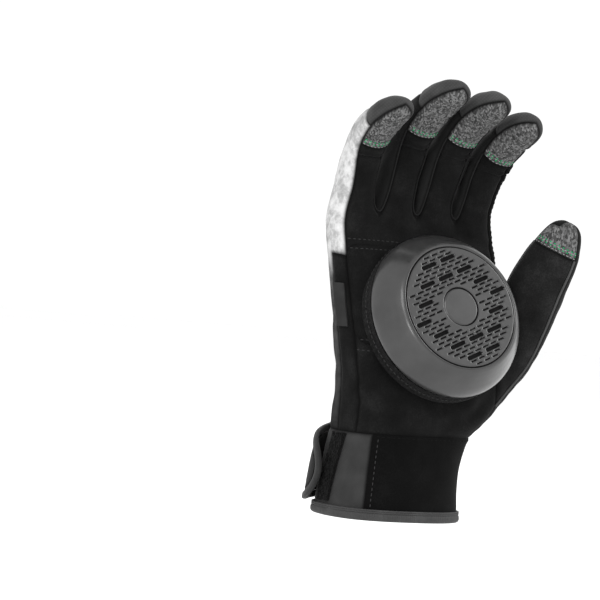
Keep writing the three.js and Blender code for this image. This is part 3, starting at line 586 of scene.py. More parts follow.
# Bulges: where their middle is, their radius and their height.
BULGES = [
    {"at": (-36, 6, 56), "wide": 9, "high": 2.2},
    {"at": (47, -6, 54), "wide": 8, "high": 1.6},
    {"at": (-42, 14, 160), "wide": 14, "high": 1.4},
    {"at": (-14, 34, 162), "wide": 9, "high": 1.0},
    {"at": (8, 34, 164), "wide": 9, "high": 1.0},
    {"at": (31, 32, 162), "wide": 9, "high": 1.0},
    {"at": (8, 13, 177), "wide": 7, "high": 1.0},
    {"at": (10, 7, 189), "wide": 8, "high": 1.7},
    {"at": (33.5, 4, 186), "wide": 8, "high": 1.5},
]
# Creases across the fingers, by their share of the finger's length.
JOINT_CREASES = [
    {"along": 0.42, "wide": 2.2, "deep": 0.75},
    {"along": 0.49, "wide": 1.8, "deep": 0.4},
    {"along": 0.72, "wide": 1.6, "deep": 0.4},
]
# How the creases fade and where their raised shoulders are, in their own widths.
CREASE_FACING = (0.05, 0.5)
CREASE_FADE = 0.05
SHOULDER_AT = 1.9
CREASE_SHOULDER = 0.6
JOINT_SHOULDER = 0.5
JOINT_FACING = (0.0, 0.7)
JOINT_WANDER = {"high": 0.5, "rate": 0.5}
KNUCKLE_MARGIN = 4
FINGER_REACH = 0.66


def crease(off, shoulder):
    """A groove's profile, with a raised shoulder at each side."""
    return np.exp(-off**2) - shoulder * np.exp(-((np.abs(off) - SHOULDER_AT) ** 2))


@functools.lru_cache(maxsize=1)
def folds():
    """The height of the cloth's folds over the smooth skin, the same for every panel."""
    s = skin()
    p, n = s["p"], s["n"]
    loose = smooth(p[:, 2], *LOOSE_FROM)
    height = sum(row["high"] * ripple(p, row["size"], row["seed"]) * loose for row in LOOSE_FOLDS)
    for row in CREASES:
        a, b = np.array(row["from"], float), np.array(row["to"], float)
        flat = p[:, [0, 2]]
        t = np.clip(((flat - a) @ (b - a)) / (b - a).dot(b - a), 0, 1)
        line = a + t[:, None] * (b - a)
        line[:, 1] -= row["sag"] * 4 * t * (1 - t)
        away = np.linalg.norm(flat - line, axis=1) / row["wide"]
        side = smooth(row["side"] * n[:, 1], *CREASE_FACING)
        fade = np.sqrt(np.sin(np.pi * np.clip(t * (1 - 2 * CREASE_FADE) + CREASE_FADE, 0, 1)))
        height -= row["deep"] * crease(away, CREASE_SHOULDER) * side * fade
    for row in BULGES:
        away = np.linalg.norm(p - np.array(row["at"], float), axis=1) / row["wide"]
        height += row["high"] * np.exp(-away**2)
    lines = cage()[2]
    for f, finger in enumerate(FINGERS):
        line = lines[finger["name"]]
        high = np.where(p[:, 2] > CUFF_HEIGHT + PALM_LENGTH - KNUCKLE_MARGIN)[0]
        away, at = nearest(p[high], line)
        mine = away < FINGER_WIDTH * FINGER_REACH
        high, at = high[mine], at[mine]
        way = np.array([heading(finger, t) for t in np.linspace(0, 1, len(line))])
        along = np.einsum("ij,ij->i", p[high] - line[at], way[at])
        share = at / (len(line) - 1) + along / (finger["length"] * MIDDLE_LENGTH)
        pad = np.cross(way[at], (-1, 0, 0))
        faces_pad = smooth(np.einsum("ij,ij->i", n[high], pad), *JOINT_FACING)
        for row in JOINT_CREASES:
            off = (share - row["along"]) * finger["length"] * MIDDLE_LENGTH / row["wide"]
            off += JOINT_WANDER["high"] * np.sin(p[high, 0] * JOINT_WANDER["rate"] + f)
            height[high] -= row["deep"] * faces_pad * crease(off, JOINT_SHOULDER)
    return height


def rim_of(faces):
    """The directed edges at the border of some faces."""
    edges = set()
    for loop in faces.tolist():
        for a, b in zip(loop, loop[1:] + loop[:1]):
            edges.add((a, b))
    return [(a, b) for a, b in edges if (b, a) not in edges]


def runs(pairs):
    """Joins edges into runs of points. A closed run ends with its first point."""
    near = {}
    for a, b in pairs:
        near.setdefault(a, []).append(b)
        near.setdefault(b, []).append(a)
    ends = [k for k, v in near.items() if len(v) != 2]
    made = []
    for start in ends + list(near):
        while near[start]:
            run = [start]
            while near[run[-1]]:
                there = near[run[-1]].pop()
                near[there].remove(run[-1])
                run.append(there)
            made.append(run)
    return made


def seam(first, second):
    """Where two panels meet on the skin, as runs of skin points."""
    s = skin()
    a, b = (s["names"].index(name) for name in (first, second))
    ours = set(rim_of(s["f"][s["panel"] == a]))
    return runs([e for e in rim_of(s["f"][s["panel"] == b]) if (e[1], e[0]) in ours])


def triangles(faces):
    """Quads cut into triangles. Triangles stay as they are."""
    if faces.shape[1] == 3:
        return faces
    return np.vstack([faces[:, [0, 1, 2]], faces[:, [0, 2, 3]]])


def clip(p, n, faces, values):
    """The part of a mesh where values are below 0, cut along the line where they are 0."""
    tris = triangles(faces)
    outside = values[tris] > 0
    kept = tris[~outside.any(1)].tolist()
    points, normals, spots = [*p], [*n], {}

    def cut(i, j):
        key = (min(i, j), max(i, j))
        if key not in spots:
            a, b = key
            t = values[a] / (values[a] - values[b])
            points.append(p[a] + (p[b] - p[a]) * t)
            normals.append(unit(n[a] + (n[b] - n[a]) * t))
            spots[key] = len(points) - 1
        return spots[key]

    for tri in tris[outside.any(1) & ~outside.all(1)].tolist():
        loop = []
        for i, j in zip(tri, tri[1:] + tri[:1]):
            if values[i] <= 0:
                loop.append(i)
            if (values[i] > 0) != (values[j] > 0):
                loop.append(cut(i, j))
        kept += [[loop[0], loop[k], loop[k + 1]] for k in range(1, len(loop) - 1)]
    used, index = np.unique(np.array(kept), return_inverse=True)
    return np.array(points)[used], np.array(normals)[used], index.reshape(-1, 3), used


def contour(p, n, faces, values, level):
    """The lines on a mesh where values pass a level, as pairs of arrays, points and normals."""
    v = values - level
    above = v[triangles(faces)] > 0
    spots, where, pairs = {}, [], []
    for tri in triangles(faces)[above.any(1) & ~above.all(1)].tolist():
        ends = []
        for i, j in zip(tri, tri[1:] + tri[:1]):
            if (v[i] > 0) == (v[j] > 0):
                continue
            key = (min(i, j), max(i, j))
            if key not in spots:
                spots[key] = len(where)
                a, b = key
                where.append((a, b, v[a] / (v[a] - v[b])))
            ends.append(spots[key])
        pairs.append(ends)
    if not where:
        return []
    a, b, t = (np.array(x) for x in zip(*where))
    t = t[:, None]
    spot, up = p[a] + (p[b] - p[a]) * t, unit(n[a] + (n[b] - n[a]) * t)
    return [(spot[run], up[run]) for run in runs(pairs)]


def even(p, n, step, closed=False):
    """A line's points and normals at even steps."""
    if closed:
        p, n = np.vstack([p, p[:1]]), np.vstack([n, n[:1]])
    far = distances(p)
    count = max(2, int(round(far[-1] / step)) + 1)
    at = np.linspace(0, far[-1], count)
    if closed:
        at = at[:-1]
    q = np.stack([np.interp(at, far, p[:, k]) for k in range(3)], 1)
    m = np.stack([np.interp(at, far, n[:, k]) for k in range(3)], 1)
    return q, unit(m)


def relaxed(line, times):
    """An open line with its kinks smoothed away. Its ends stay."""
    line = line.copy()
    for _ in range(times):
        line[1:-1] = (line[2:] + line[:-2] + 2 * line[1:-1]) / 4
    return line


# The pieces and what they are sewn with.


def piece(name, points, faces, material, nodes=(), sharp=50, uv=None, painted_seam_shade=None, second=None):
    """A mesh object in metres that rides on the glove's body.

    It may take a painted seam shade for each point, darkening the rims where the seams cast shadow,
    and second is another material and the faces that have it.
    """
    mesh = bpy.data.meshes.new(name)
    loops = [loop for group in faces for loop in np.asarray(group).tolist()]
    mesh.from_pydata((np.asarray(points) * MM).tolist(), [], loops)
    mesh.validate()
    mesh.polygons.foreach_set("use_smooth", [True] * len(mesh.polygons))
    mesh.set_sharp_from_angle(angle=math.radians(sharp))
    if uv is not None:
        layer = mesh.uv_layers.new(name="UVMap")
        index = np.zeros(len(mesh.loops), int)
        mesh.loops.foreach_get("vertex_index", index)
        layer.data.foreach_set("uv", np.asarray(uv)[index].ravel())
    # Painted seam shade: how far each point's colour is darkened near the rims, where the seams cast
    # shadow.
    if painted_seam_shade is not None:
        shade = mesh.attributes.new("painted_seam_shade", "FLOAT", "POINT")
        shade.data.foreach_set("value", np.asarray(painted_seam_shade, float).ravel())
    mesh.materials.append(material)
    if second is not None:
        mesh.materials.append(second[0])
        mesh.polygons.foreach_set("material_index", np.asarray(second[1], int))
    obj = bpy.data.objects.new(name, mesh)
    bpy.context.scene.collection.objects.link(obj)
    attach(obj, "root")
    if nodes:
        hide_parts(*nodes)


sewn = {}


def sew_panel(name, p, n, faces, lift, tuck, soft, wall, folded):
    """Closes a panel: its face is pulled down along its rim, and its lining lies under it."""
    rim = rim_of(faces)
    ring = np.array([a for a, _ in rim])
    spots = np.vstack([p[ring], [(p[a] + p[b]) / 2 for a, b in rim]])
    away, _ = nearest(p, spots)
    inward = np.zeros_like(p)
    for a, b in rim:
        side = np.cross(n[a], p[b] - p[a])
        inward[a] += side
        inward[b] += side
    base = p + unit(inward) * SET_BACK * (np.linalg.norm(inward, axis=1) > 0)[:, None]
    height = folded + lift - tuck * np.exp(-((away / soft) ** 2))
    outer = base + n * height[:, None]
    inner = base + n * (folded + min(lift, 0) - wall)[:, None]
    under = len(p)
    walls = np.array([(b, a, a + under, b + under) for a, b in rim])
    sewn[name] = {"p": outer, "n": normals_of(outer, faces), "f": faces, "away": away, "flat": p}
    # Painted seam shade, darkest at the face's rim where shadow falls in the seam; none on the lining.
    shade = np.concatenate([np.exp(-((away / SEAM_SHADE) ** 2)), np.zeros(under)])
    return np.vstack([outer, inner]), [faces, faces[:, ::-1] + under, walls], shade


def panel_part(name):
    """The points, normals and faces of the skin that belong to one panel, and the folds there."""
    s = skin()
    faces = s["f"][s["panel"] == s["names"].index(name)]
    used, index = np.unique(faces, return_inverse=True)
    return s["p"][used], s["n"][used], index.reshape(-1, 4), folds()[used]


def stitch_mesh(spots, ways, ups, long, thick):
    """Short raised threads, one at each spot."""
    turn = circle(STITCH_SIDES)
    spots, ways, ups = (np.asarray(x) for x in (spots, ways, ups))
    sides = unit(np.cross(ups, ways))
    line = spots[:, None] + ways[:, None] * (STITCH_ALONG * long)[None, :, None]
    line = line + ups[:, None] * (STITCH_RISE * thick)[None, :, None]
    out = sides[:, None, None] * np.cos(turn)[None, None, :, None]
    out = out + ups[:, None, None] * np.sin(turn)[None, None, :, None]
    p = line[:, :, None] + out * (STITCH_GIRTH * thick / 2)[None, :, None, None]
    rings = len(STITCH_ALONG)
    start = np.arange(len(spots))[:, None, None] * rings * STITCH_SIDES
    quads = (lattice(rings, STITCH_SIDES)[None] + start).reshape(-1, 4)
    around = np.arange(STITCH_SIDES)
    caps = np.array([around[::-1], (rings - 1) * STITCH_SIDES + around])
    return p.reshape(-1, 3), [quads, (caps[None] + start).reshape(-1, STITCH_SIDES)]


class Thread:
    """Gathers rows of stitches that are sewn with one thread."""

    def __init__(self, long, gap, thick):
        self.long, self.gap, self.thick = long, gap, thick
        self.spots, self.ways, self.ups = [], [], []

    def row(self, p, n, keep=None):
        """A row along a line. keep says at which points a stitch stays."""
        pitch = self.long + self.gap
        if len(p) < 3 or distances(p)[-1] < 2 * pitch:
            return
        half = STITCH_STEPS // 2
        q, m = even(relaxed(p, STITCH_EASE), n, pitch / STITCH_STEPS)
        for i in range(half, len(q) - half, STITCH_STEPS):
            if keep is None or keep(q[i]):
                way = unit(q[i + half] - q[i - half])
                self.spots.append(q[i])
                self.ways.append(way)
                self.ups.append(unit(m[i] - way * m[i].dot(way)))

    def rows(self, name, values, levels, keep=None):
        """Rows on a panel, along the lines where values pass each level."""
        part = sewn[name]
        for level in levels:
            for p, n in contour(part["p"], part["n"], part["f"], values, level):
                self.row(p, n, keep)

    def done(self, name, material, slot):
        """Makes all the stitches one piece."""
        p, faces = stitch_mesh(self.spots, self.ways, self.ups, self.long, self.thick)
        piece(name, p, faces, material, sharp=SHARP_TAPE)


# Places on the cuff, by their angle about +Z and their height.
SKIN_STEP = 3
ABOVE_HEM = 0.2
BORDER_STEPS = np.array([0, 0.12, 0.35, 0.65, 1.0])


def axis_at(z):
    """The middle of the hand's body at a height."""
    up = z / CUFF_HEIGHT if z < CUFF_HEIGHT else 1 + (z - CUFF_HEIGHT) / PALM_LENGTH
    heights = [row["up"] for row in BODY_RINGS]
    shift = np.interp(up, heights, [row["shift"] for row in BODY_RINGS])
    lean = np.interp(up, heights, [row["lean"] for row in BODY_RINGS])
    return np.array([shift * PALM_DEPTH, lean * PALM_DEPTH, z])


def skin_at(angle, z):
    """The point of the folded skin at an angle and a height."""
    out = np.array([math.cos(math.radians(angle)), math.sin(math.radians(angle)), 0])
    start = axis_at(z) + out * 2 * PALM_WIDTH
    hit = skin_tree().ray_cast(Vector(start), Vector(-out))[0]
    if hit is None:
        raise RuntimeError(f"no skin at {angle} degrees and {z} mm")
    return np.array(hit)


def skin_frame(angle, z):
    """A point of the skin and its normal."""
    around = skin_at(angle + SKIN_STEP, z) - skin_at(angle - SKIN_STEP, z)
    up = skin_at(angle, z + SKIN_STEP) - skin_at(angle, max(HEM_HEIGHT + ABOVE_HEM, z - SKIN_STEP))
    return skin_at(angle, z), unit(np.cross(around, up))


def stations(count, length, radius):
    """Shares from 0 to 1, close together where the border is rounded."""
    near = BORDER_STEPS * radius / length
    inner = np.linspace(near[-1], 1 - near[-1], count)[1:-1]
    return np.concatenate([near, inner, 1 - near[::-1]])


def sheet(size, count, place, low, high, radius):
    """A closed sheet on the skin with a rounded border.

    size is its width and height, and count how many steps each has. place gives the angle and height
    at a share of both, and low and high how far its back and its face are off the skin there.
    """
    us, vs = stations(count[0], size[0], radius), stations(count[1], size[1], radius)
    wide = len(us)
    top, bottom = [], []
    for v in vs:
        for u in us:
            p, n = skin_frame(*place(u, v))
            away = min(min(u, 1 - u) * size[0], min(v, 1 - v) * size[1], radius)
            fall = radius * (1 - math.sqrt(1 - (1 - away / radius) ** 2))
            top.append(p + n * (high(u, v) - fall))
            bottom.append(p + n * low(u, v))
    under = len(top)
    faces = []
    for j in range(len(vs) - 1):
        for i in range(wide - 1):
            faces.append((j * wide + i, j * wide + i + 1, (j + 1) * wide + i + 1, (j + 1) * wide + i))
    faces = np.array(faces)
    top, bottom = np.array(top), np.array(bottom)
    if np.einsum("ij,ij->i", normals_of(top, faces), top - bottom).mean() < 0:
        faces = faces[:, ::-1]
    walls = np.array([(b, a, a + under, b + under) for a, b in rim_of(faces)])
    return np.vstack([top, bottom]), [faces, faces[:, ::-1] + under, walls], faces


def path_on_skin(spots, step):
    """A path at even steps through spots, each an angle, a height and how far it is off the skin."""
    placed = [skin_frame(angle, z) for angle, z, _ in spots]
    p = np.array([q + n * lift for (q, n), (_, _, lift) in zip(placed, spots)])
    n = np.array([m for _, m in placed])
    p, _, rise = framed(p, n, False)
    q, m = even(p, rise, step)
    return framed(relaxed(q, TAPE["ease"]), m, False)


def framed(p, n, closed):
    """A line with the way to its left and the way out at each point."""
    ahead, behind = np.roll(p, -1, 0), np.roll(p, 1, 0)
    if not closed:
        ahead[-1], behind[0] = p[-1], p[0]
    way = unit(ahead - behind)
    side = unit(np.cross(n, way))
    return p, side, unit(np.cross(way, side))


def sweep(path, sections, closed):
    """A bar along a path. sections has the side and the rise of each of its corners at each point."""
    p, side, rise = path
    s, r = sections[..., 0], sections[..., 1]
    count = s.shape[-1]
    s, r = np.broadcast_to(s, (len(p), count)), np.broadcast_to(r, (len(p), count))
    points = p[:, None] + side[:, None] * s[..., None] + rise[:, None] * r[..., None]
    faces = [lattice(len(p), count, closed)]
    if not closed:
        end = (len(p) - 1) * count
        faces.append(np.array([np.arange(count)[::-1], end + np.arange(count)]))
    along, around = distances(p)[:, None] * UV_SCALE, np.arange(count)[None] * UV_SCALE
    uv = np.stack(np.broadcast_arrays(along, around), -1)
    return points.reshape(-1, 3), faces, uv.reshape(-1, 2)


def round_section(wide, thick, count=16, power=0.6):
    """A section with rounded corners. A power of 1 makes it an ellipse."""
    turn = circle(count)
    c, s = np.cos(turn), np.sin(turn)
    return np.stack([
        wide / 2 * np.sign(c) * np.abs(c) ** power,
        thick / 2 * np.sign(s) * np.abs(s) ** power,
    ], -1)


def ribbed(path, section, pitch, depth):
    """Sections that swell and shrink along a path, as a ribbed tape does."""
    p = path[0]
    swell = 1 + depth * np.cos(2 * math.pi * distances(p) / pitch)
    sections = np.broadcast_to(section, (len(p), *section.shape))
    return sections * np.stack([np.ones_like(swell), swell], -1)[:, None]



def strap_hang(angle, z):
    """How far the strap's loose end hangs, more at its upper edge."""
    up = (z - STRAP_LOW) / (STRAP_HIGH - STRAP_LOW)
    share = HANG_SHARES["least"] + HANG_SHARES["more"] * up
    return STRAP_DROP * share * float(smooth(angle, HANG_FROM, STRAP_TO))


def strap_lift(angle):
    """How far the strap stands off the skin, more at its loose end."""
    return CLOTH_GAP + STRAP_FLARE * float(smooth(angle, FLARE_FROM, STRAP_TO))


# Materials. Each list of tones has places on a ramp, and how many times the base colour stands there.
SUEDE_TONES = [(0.36, 0.4), (0.55, 1), (0.72, 2.4)]
STRETCH_TONES = [(0.25, 0.6), (0.48, 1), (0.75, 1.6)]
KNIT_TONES = [(0.15, 0.4), (0.4, 0.75), (0.6, 1.3), (0.8, 2.3)]
TAPE_TONES = [(0.3, 0.6), (0.5, 1), (0.75, 1.6)]
# The loops' tones vary at random, and the brightest, seven times the base, are painted glints on the
# fibres.
FUZZ_TONES_AND_GLINTS = [(0.34, 0.2), (0.54, 1), (0.72, 7)]
PLASTIC_TONES = [(0.3, 0.7), (0.7, 1.3)]
SCUFF_ROUGHNESS = [(0.35, 0.3), (0.6, 0.37), (0.8, 0.46)]
GROOVE_TONES = [(0.3, 1), (0.7, 1.6)]
RUBBER_TONES = [(0.3, 0.85), (0.7, 1.12)]
THREAD_TONES = [(0.3, 0.7), (0.7, 1.3)]
PRINT_DARK_TONES = [(0.0, 1), (0.22, 1.5)]
PRINT_LIGHT_TONES = [(0.46, 0.1), (0.59, 0.18), (0.69, 0.5), (0.82, 1)]
PRINT_VEIL = [(0.3, 0.25), (0.44, 0.5), (0.54, 0.82), (0.66, 1.0)]
PRINT_FROM = 0.075
PRINT_TO = 0.185
PRINT_DRIFT = 0.05
VEIL_SHARE = 0.85
KNIT_CELL = 0.8
KNIT_WAYS = (0.78, -0.78)
WAVES_PER_UNIT = 6.3


class Graph:
    """A node material on one Principled shader."""

    def __init__(self, name, **sockets):
        self.material = bpy.data.materials.new(name)
        self.material.use_nodes = True
        self.tree = self.material.node_tree
        self.shader = self.tree.nodes["Principled BSDF"]
        for key, value in sockets.items():
            self.shader.inputs[key.replace("_", " ")].default_value = value
        self.place = self.node("ShaderNodeTexCoord").outputs["Object"]

    def node(self, kind, **values):
        made = self.tree.nodes.new(kind)
        for key, value in values.items():
            label = key.replace("_", " ")
            if label in made.inputs:
                if isinstance(value, bpy.types.NodeSocket):
                    self.tree.links.new(value, made.inputs[label])
                else:
                    made.inputs[label].default_value = value
            else:
                setattr(made, key, value)
        return made

    def noise(self, size, detail=3, rough=0.55, place=None):
        made = self.node("ShaderNodeTexNoise", Scale=1 / (size * MM), Detail=detail, Roughness=rough)
        self.tree.links.new(place or self.place, made.inputs["Vector"])
        return made.outputs["Fac"]

    def stretched(self, scale, turn=(0, 0, 0)):
        made = self.node("ShaderNodeMapping", Scale=scale, Rotation=turn)
        self.tree.links.new(self.place, made.inputs["Vector"])
        return made.outputs["Vector"]

    def ramp(self, value, stops):
        made = self.node("ShaderNodeValToRGB", Fac=value)
        elements = made.color_ramp.elements
        while len(elements) < len(stops):
            elements.new(0.5)
        for element, (at, colour) in zip(elements, stops):
            element.position = at
            element.color = (*grey(colour), 1)
        return made.outputs["Color"]

    def tones(self, value, base, stops):
        """Colours the surface with a ramp of tones of one colour."""
        self.colour(self.ramp(value, toned(base, stops)))

    def wave(self, size, distortion, detail, turn):
        scale = 1 / (size * MM) / WAVES_PER_UNIT
        made = self.node("ShaderNodeTexWave", Scale=scale, Distortion=distortion, Detail=detail)
        self.tree.links.new(self.stretched((1, 1, 1), turn), made.inputs["Vector"])
        return made.outputs["Fac"]

    def blended(self, a, share_a, b, share_b):
        """The weighted sum of two values."""
        return self.maths("MULTIPLY_ADD", a, share_a, self.maths("MULTIPLY", b, share_b))

    def maths(self, operation, a, b=0.5, c=None):
        made = self.node("ShaderNodeMath", operation=operation)
        for socket, value in zip(made.inputs, (a, b, c)):
            if isinstance(value, bpy.types.NodeSocket):
                self.tree.links.new(value, socket)
            elif value is not None:
                socket.default_value = value
        return made.outputs[0]

    def mixed(self, a, b, share, blend="MIX"):
        made = self.node("ShaderNodeMix", data_type="RGBA", blend_type=blend)
        for socket, value in zip((made.inputs[0], made.inputs[6], made.inputs[7]), (share, a, b)):
            if isinstance(value, bpy.types.NodeSocket):
                self.tree.links.new(value, socket)
            else:
                socket.default_value = value if isinstance(value, float) else (*grey(value), 1)
        return made.outputs[2]

    def bump(self, height, strength, distance):
        made = self.node("ShaderNodeBump", Height=height, Strength=strength, Distance=distance * MM)
        normal = self.shader.inputs["Normal"]
        if normal.is_linked:
            self.tree.links.new(normal.links[0].from_socket, made.inputs["Normal"])
        self.tree.links.new(made.outputs["Normal"], normal)

    def colour(self, socket):
        self.tree.links.new(socket, self.shader.inputs["Base Color"])

    def paint_seam_shade(self, shade):
        """Paints shade into the colour along the panels' rims, as far as the mesh's painted seam shade
        says.
        """
        painted_seam_shade = self.node("ShaderNodeAttribute", attribute_name="painted_seam_shade").outputs["Fac"]
        base = self.shader.inputs["Base Color"].links[0].from_socket
        self.colour(self.mixed(base, shade, painted_seam_shade))

    def roughness(self, socket):
        self.tree.links.new(socket, self.shader.inputs["Roughness"])


def grey(value):
    """A colour from one number, or the colour itself."""
    return (value, value, value) if isinstance(value, (int, float)) else tuple(value)[:3]


def lighter(colour, times):
    """A colour made some times as light."""
    return tuple(c * times for c in grey(colour))


def toned(base, stops):
    return [(at, lighter(base, times)) for at, times in stops]


@functools.lru_cache(maxsize=None)
def material(kind):
    """The material of one kind, made once from the scene's look."""
    return MATERIALS[kind](bpy.context.scene.glove_look)


def suede_look(look, name, times):
    g = Graph(name, Roughness=0.95, Sheen_Weight=0.03, Sheen_Roughness=0.5, Specular_IOR_Level=0.08)
    patches = g.noise(size=16, detail=4, rough=0.6)
    nap = g.noise(size=0.7, detail=3, rough=0.7)
    g.tones(g.blended(nap, 0.45, patches, 0.6), lighter(look.suede_colour, times), SUEDE_TONES)
    g.bump(nap, strength=0.5, distance=0.25)
    g.bump(patches, strength=0.25, distance=0.6)
    # Painted seam shade along the rims.
    g.paint_seam_shade(look.seam_shade_colour)
    return g.material


def stretch_look(look, name, base, size, sheen):
    g = Graph(name, Roughness=0.85, Sheen_Weight=sheen, Sheen_Roughness=0.4, Specular_IOR_Level=0.12)
    waves = [g.wave(size, distortion=0.6, detail=1.0, turn=(0, turn, 0.3)) for turn in KNIT_WAYS]
    knit = g.maths("MULTIPLY", *waves)
    spread = g.noise(size=20, detail=3, rough=0.6)
    g.tones(g.blended(knit, 0.12, spread, 0.9), base, STRETCH_TONES)
    g.bump(knit, strength=0.3, distance=0.15)
    # Painted seam shade along the rims.
    g.paint_seam_shade(look.seam_shade_colour)
    return g.material


def knit(look):
    g = Graph("heather_knit", Roughness=0.95, Sheen_Weight=0.05, Specular_IOR_Level=0.1)
    cells = g.node("ShaderNodeTexVoronoi", Scale=1 / (KNIT_CELL * MM), Randomness=0.7)
    g.tree.links.new(g.stretched((1, 1, 0.55), (0.5, 0.4, 0.0)), cells.inputs["Vector"])
    fine = g.noise(size=1.0, detail=2, rough=0.6)
    tone = g.node("ShaderNodeSeparateColor", Color=cells.outputs["Color"]).outputs[0]
    g.tones(g.blended(tone, 0.75, fine, 0.3), look.knit_colour, KNIT_TONES)
    g.bump(cells.outputs["Distance"], strength=0.7, distance=-0.35)
    # Painted seam shade along the rims.
    g.paint_seam_shade(look.seam_shade_colour)
    return g.material


def printed(look):
    g = Graph("printed_cloth", Roughness=0.9, Specular_IOR_Level=0.06)
    z = g.node("ShaderNodeSeparateXYZ", Vector=g.place).outputs["Z"]
    clouds = g.noise(size=46, detail=5, rough=0.6)
    mist = g.noise(size=7, detail=7, rough=0.7, place=g.stretched((1, 1, 0.8)))
    height = g.maths("MULTIPLY_ADD", clouds, PRINT_DRIFT, z)
    share = g.node("ShaderNodeMapRange", Value=height, From_Min=PRINT_FROM, From_Max=PRINT_TO).outputs[0]
    dark, light = toned(look.print_dark, PRINT_DARK_TONES), toned(look.print_colour, PRINT_LIGHT_TONES)
    body = g.ramp(share, dark + light)
    g.colour(g.mixed(body, g.ramp(mist, PRINT_VEIL), VEIL_SHARE, "MULTIPLY"))
    g.bump(g.wave(0.5, distortion=0.4, detail=2.0, turn=(0, 0.78, 0.2)), strength=0.12, distance=0.1)
    # Painted seam shade along the rims.
    g.paint_seam_shade(look.seam_shade_colour)
    return g.material


def tape_look(look, name, times):
    g = Graph(name, Roughness=0.6, Sheen_Weight=0.06, Specular_IOR_Level=0.2)
    weave = g.noise(size=0.45, detail=2, rough=0.6)
    wear = g.noise(size=9, detail=4, rough=0.6)
    g.tones(g.blended(weave, 0.5, wear, 0.5), lighter(look.tape_colour, times), TAPE_TONES)
    g.bump(weave, strength=0.5, distance=0.15)
    return g.material


def fuzz(look):
    g = Graph("hook_and_loop", Roughness=1.0, Sheen_Weight=0.04, Specular_IOR_Level=0.05)
    hair = g.noise(size=0.6, detail=4, rough=0.75)
    clumps = g.noise(size=2.6, detail=3, rough=0.6)
    # Random tone in the loops, with bright specks as painted glints on the fibres.
    g.tones(g.blended(hair, 0.6, clumps, 0.4), look.fuzz_colour, FUZZ_TONES_AND_GLINTS)
    g.bump(hair, strength=0.9, distance=0.7)
    return g.material


def plastic(look):
    g = Graph("puck_plastic", Coat_Weight=0.45, Coat_Roughness=0.2, Specular_IOR_Level=0.4)
    haze = g.noise(size=22, detail=3, rough=0.6)
    scuffs = g.noise(size=1.6, detail=5, rough=0.7, place=g.stretched((1, 0.2, 0.6), (0.3, 0, 0.5)))
    g.tones(haze, look.puck_colour, PLASTIC_TONES)
    g.roughness(g.ramp(scuffs, SCUFF_ROUGHNESS))
    g.bump(scuffs, strength=0.03, distance=0.1)
    return g.material


def groove_shade_look(look):
    # A dark colour for the tread's grooves: painted shade in its recesses.
    g = Graph("painted_groove_shade", Roughness=0.9, Specular_IOR_Level=0.1)
    g.tones(g.noise(size=2, detail=3), look.groove_shade_colour, GROOVE_TONES)
    return g.material


def rubber_look(name, base, rough):
    g = Graph(name, Roughness=rough, Specular_IOR_Level=0.4)
    fine = g.noise(size=0.8, detail=3, rough=0.6)
    broad = g.noise(size=8, detail=3, rough=0.6)
    g.tones(g.blended(fine, 0.4, broad, 0.6), base, RUBBER_TONES)
    g.bump(fine, strength=0.2, distance=0.12)
    return g.material


def thread_look(name, base, times=1):
    g = Graph(name, Roughness=0.8, Specular_IOR_Level=0.08)
    g.tones(g.noise(size=0.35, detail=2, rough=0.5), lighter(base, times), THREAD_TONES)
    return g.material


MATERIALS = {
    "suede": lambda look: suede_look(look, "suede", times=1),
    "cuff_suede": lambda look: suede_look(look, "cuff_suede", times=0.3),
    "thumb_suede": lambda look: suede_look(look, "thumb_suede", times=1.7),
    "stretch": lambda look: stretch_look(look, "stretch_cloth", look.stretch_colour, size=0.55, sheen=0.05),
    "cuff": lambda look: stretch_look(
        look, "cuff_cloth", lighter(look.stretch_colour, times=3), size=0.5, sheen=0.05),
    "cap": lambda look: stretch_look(look, "cap_cloth", look.cap_colour, size=0.6, sheen=0.06),
    "tag": lambda look: stretch_look(
        look, "tag_cloth", lighter(look.tape_colour, times=0.6), size=0.35, sheen=0.05),
    "knit": knit,
    "print": printed,
    "tape": lambda look: tape_look(look, "binding_tape", times=1),
    "dark_tape": lambda look: tape_look(look, "strap_tape", times=0.4),
    "fuzz": fuzz,
    "plastic": plastic,
    "groove": groove_shade_look,
    "rubber": lambda look: rubber_look("dark_rubber", look.rubber_colour, rough=0.55),
    "green": lambda look: rubber_look("green_rubber", look.green_colour, rough=0.45),
    "dark_thread": lambda look: thread_look("dark_thread", look.thread_colour, times=0.2),
    "grey_thread": lambda look: thread_look("grey_thread", look.thread_colour, times=1.5),
    "light_thread": lambda look: thread_look("light_thread", look.knit_colour, times=3.5),
    "green_thread": lambda look: thread_look("green_thread", look.green_colour, times=0.6),
    "piping": lambda look: thread_look("piping_cord", look.piping_colour),
    "raised_seam": lambda look: thread_look("raised_seam", look.piping_colour, times=0.22),
}

# Which finish, material slot and rim each panel has. lift is how far it stands over its neighbours,
# tuck how far its rim is pulled down, and soft how far in from the rim that reaches.
PANELS = {
    "palm_panel": ("suede", "suede", 0, 0.8, 1.3),
    "back_panel": ("print", "printed_cloth", 0, 0.8, 1.5),
    "side_gusset": ("suede", "stretch_cloth", 0, 0.7, 1.3),
    "web_guard": ("suede", "suede", 0.5, 1.0, 0.8),
    "index_side": ("stretch", "stretch_cloth", 0, 0.7, 1.2),
    "thumb_front": ("thumb_suede", "suede", 0, 0.8, 1.3),
    "thumb_back": ("stretch", "stretch_cloth", 0, 0.8, 1.3),
    "cuff_front": ("cuff_suede", "suede", 0.3, 0.7, 0.9),
    "cuff_back": ("cuff", "stretch_cloth", 0, 0.6, 1.0),
    "fourchette": ("stretch", "stretch_cloth", 0, 0.8, 1.2),
    "tip_patch": ("knit", "heather_knit", 0.25, 0.7, 0.8),
    "tip_cap": ("cap", "cap_cloth", 0, 0.7, 1.1),
}


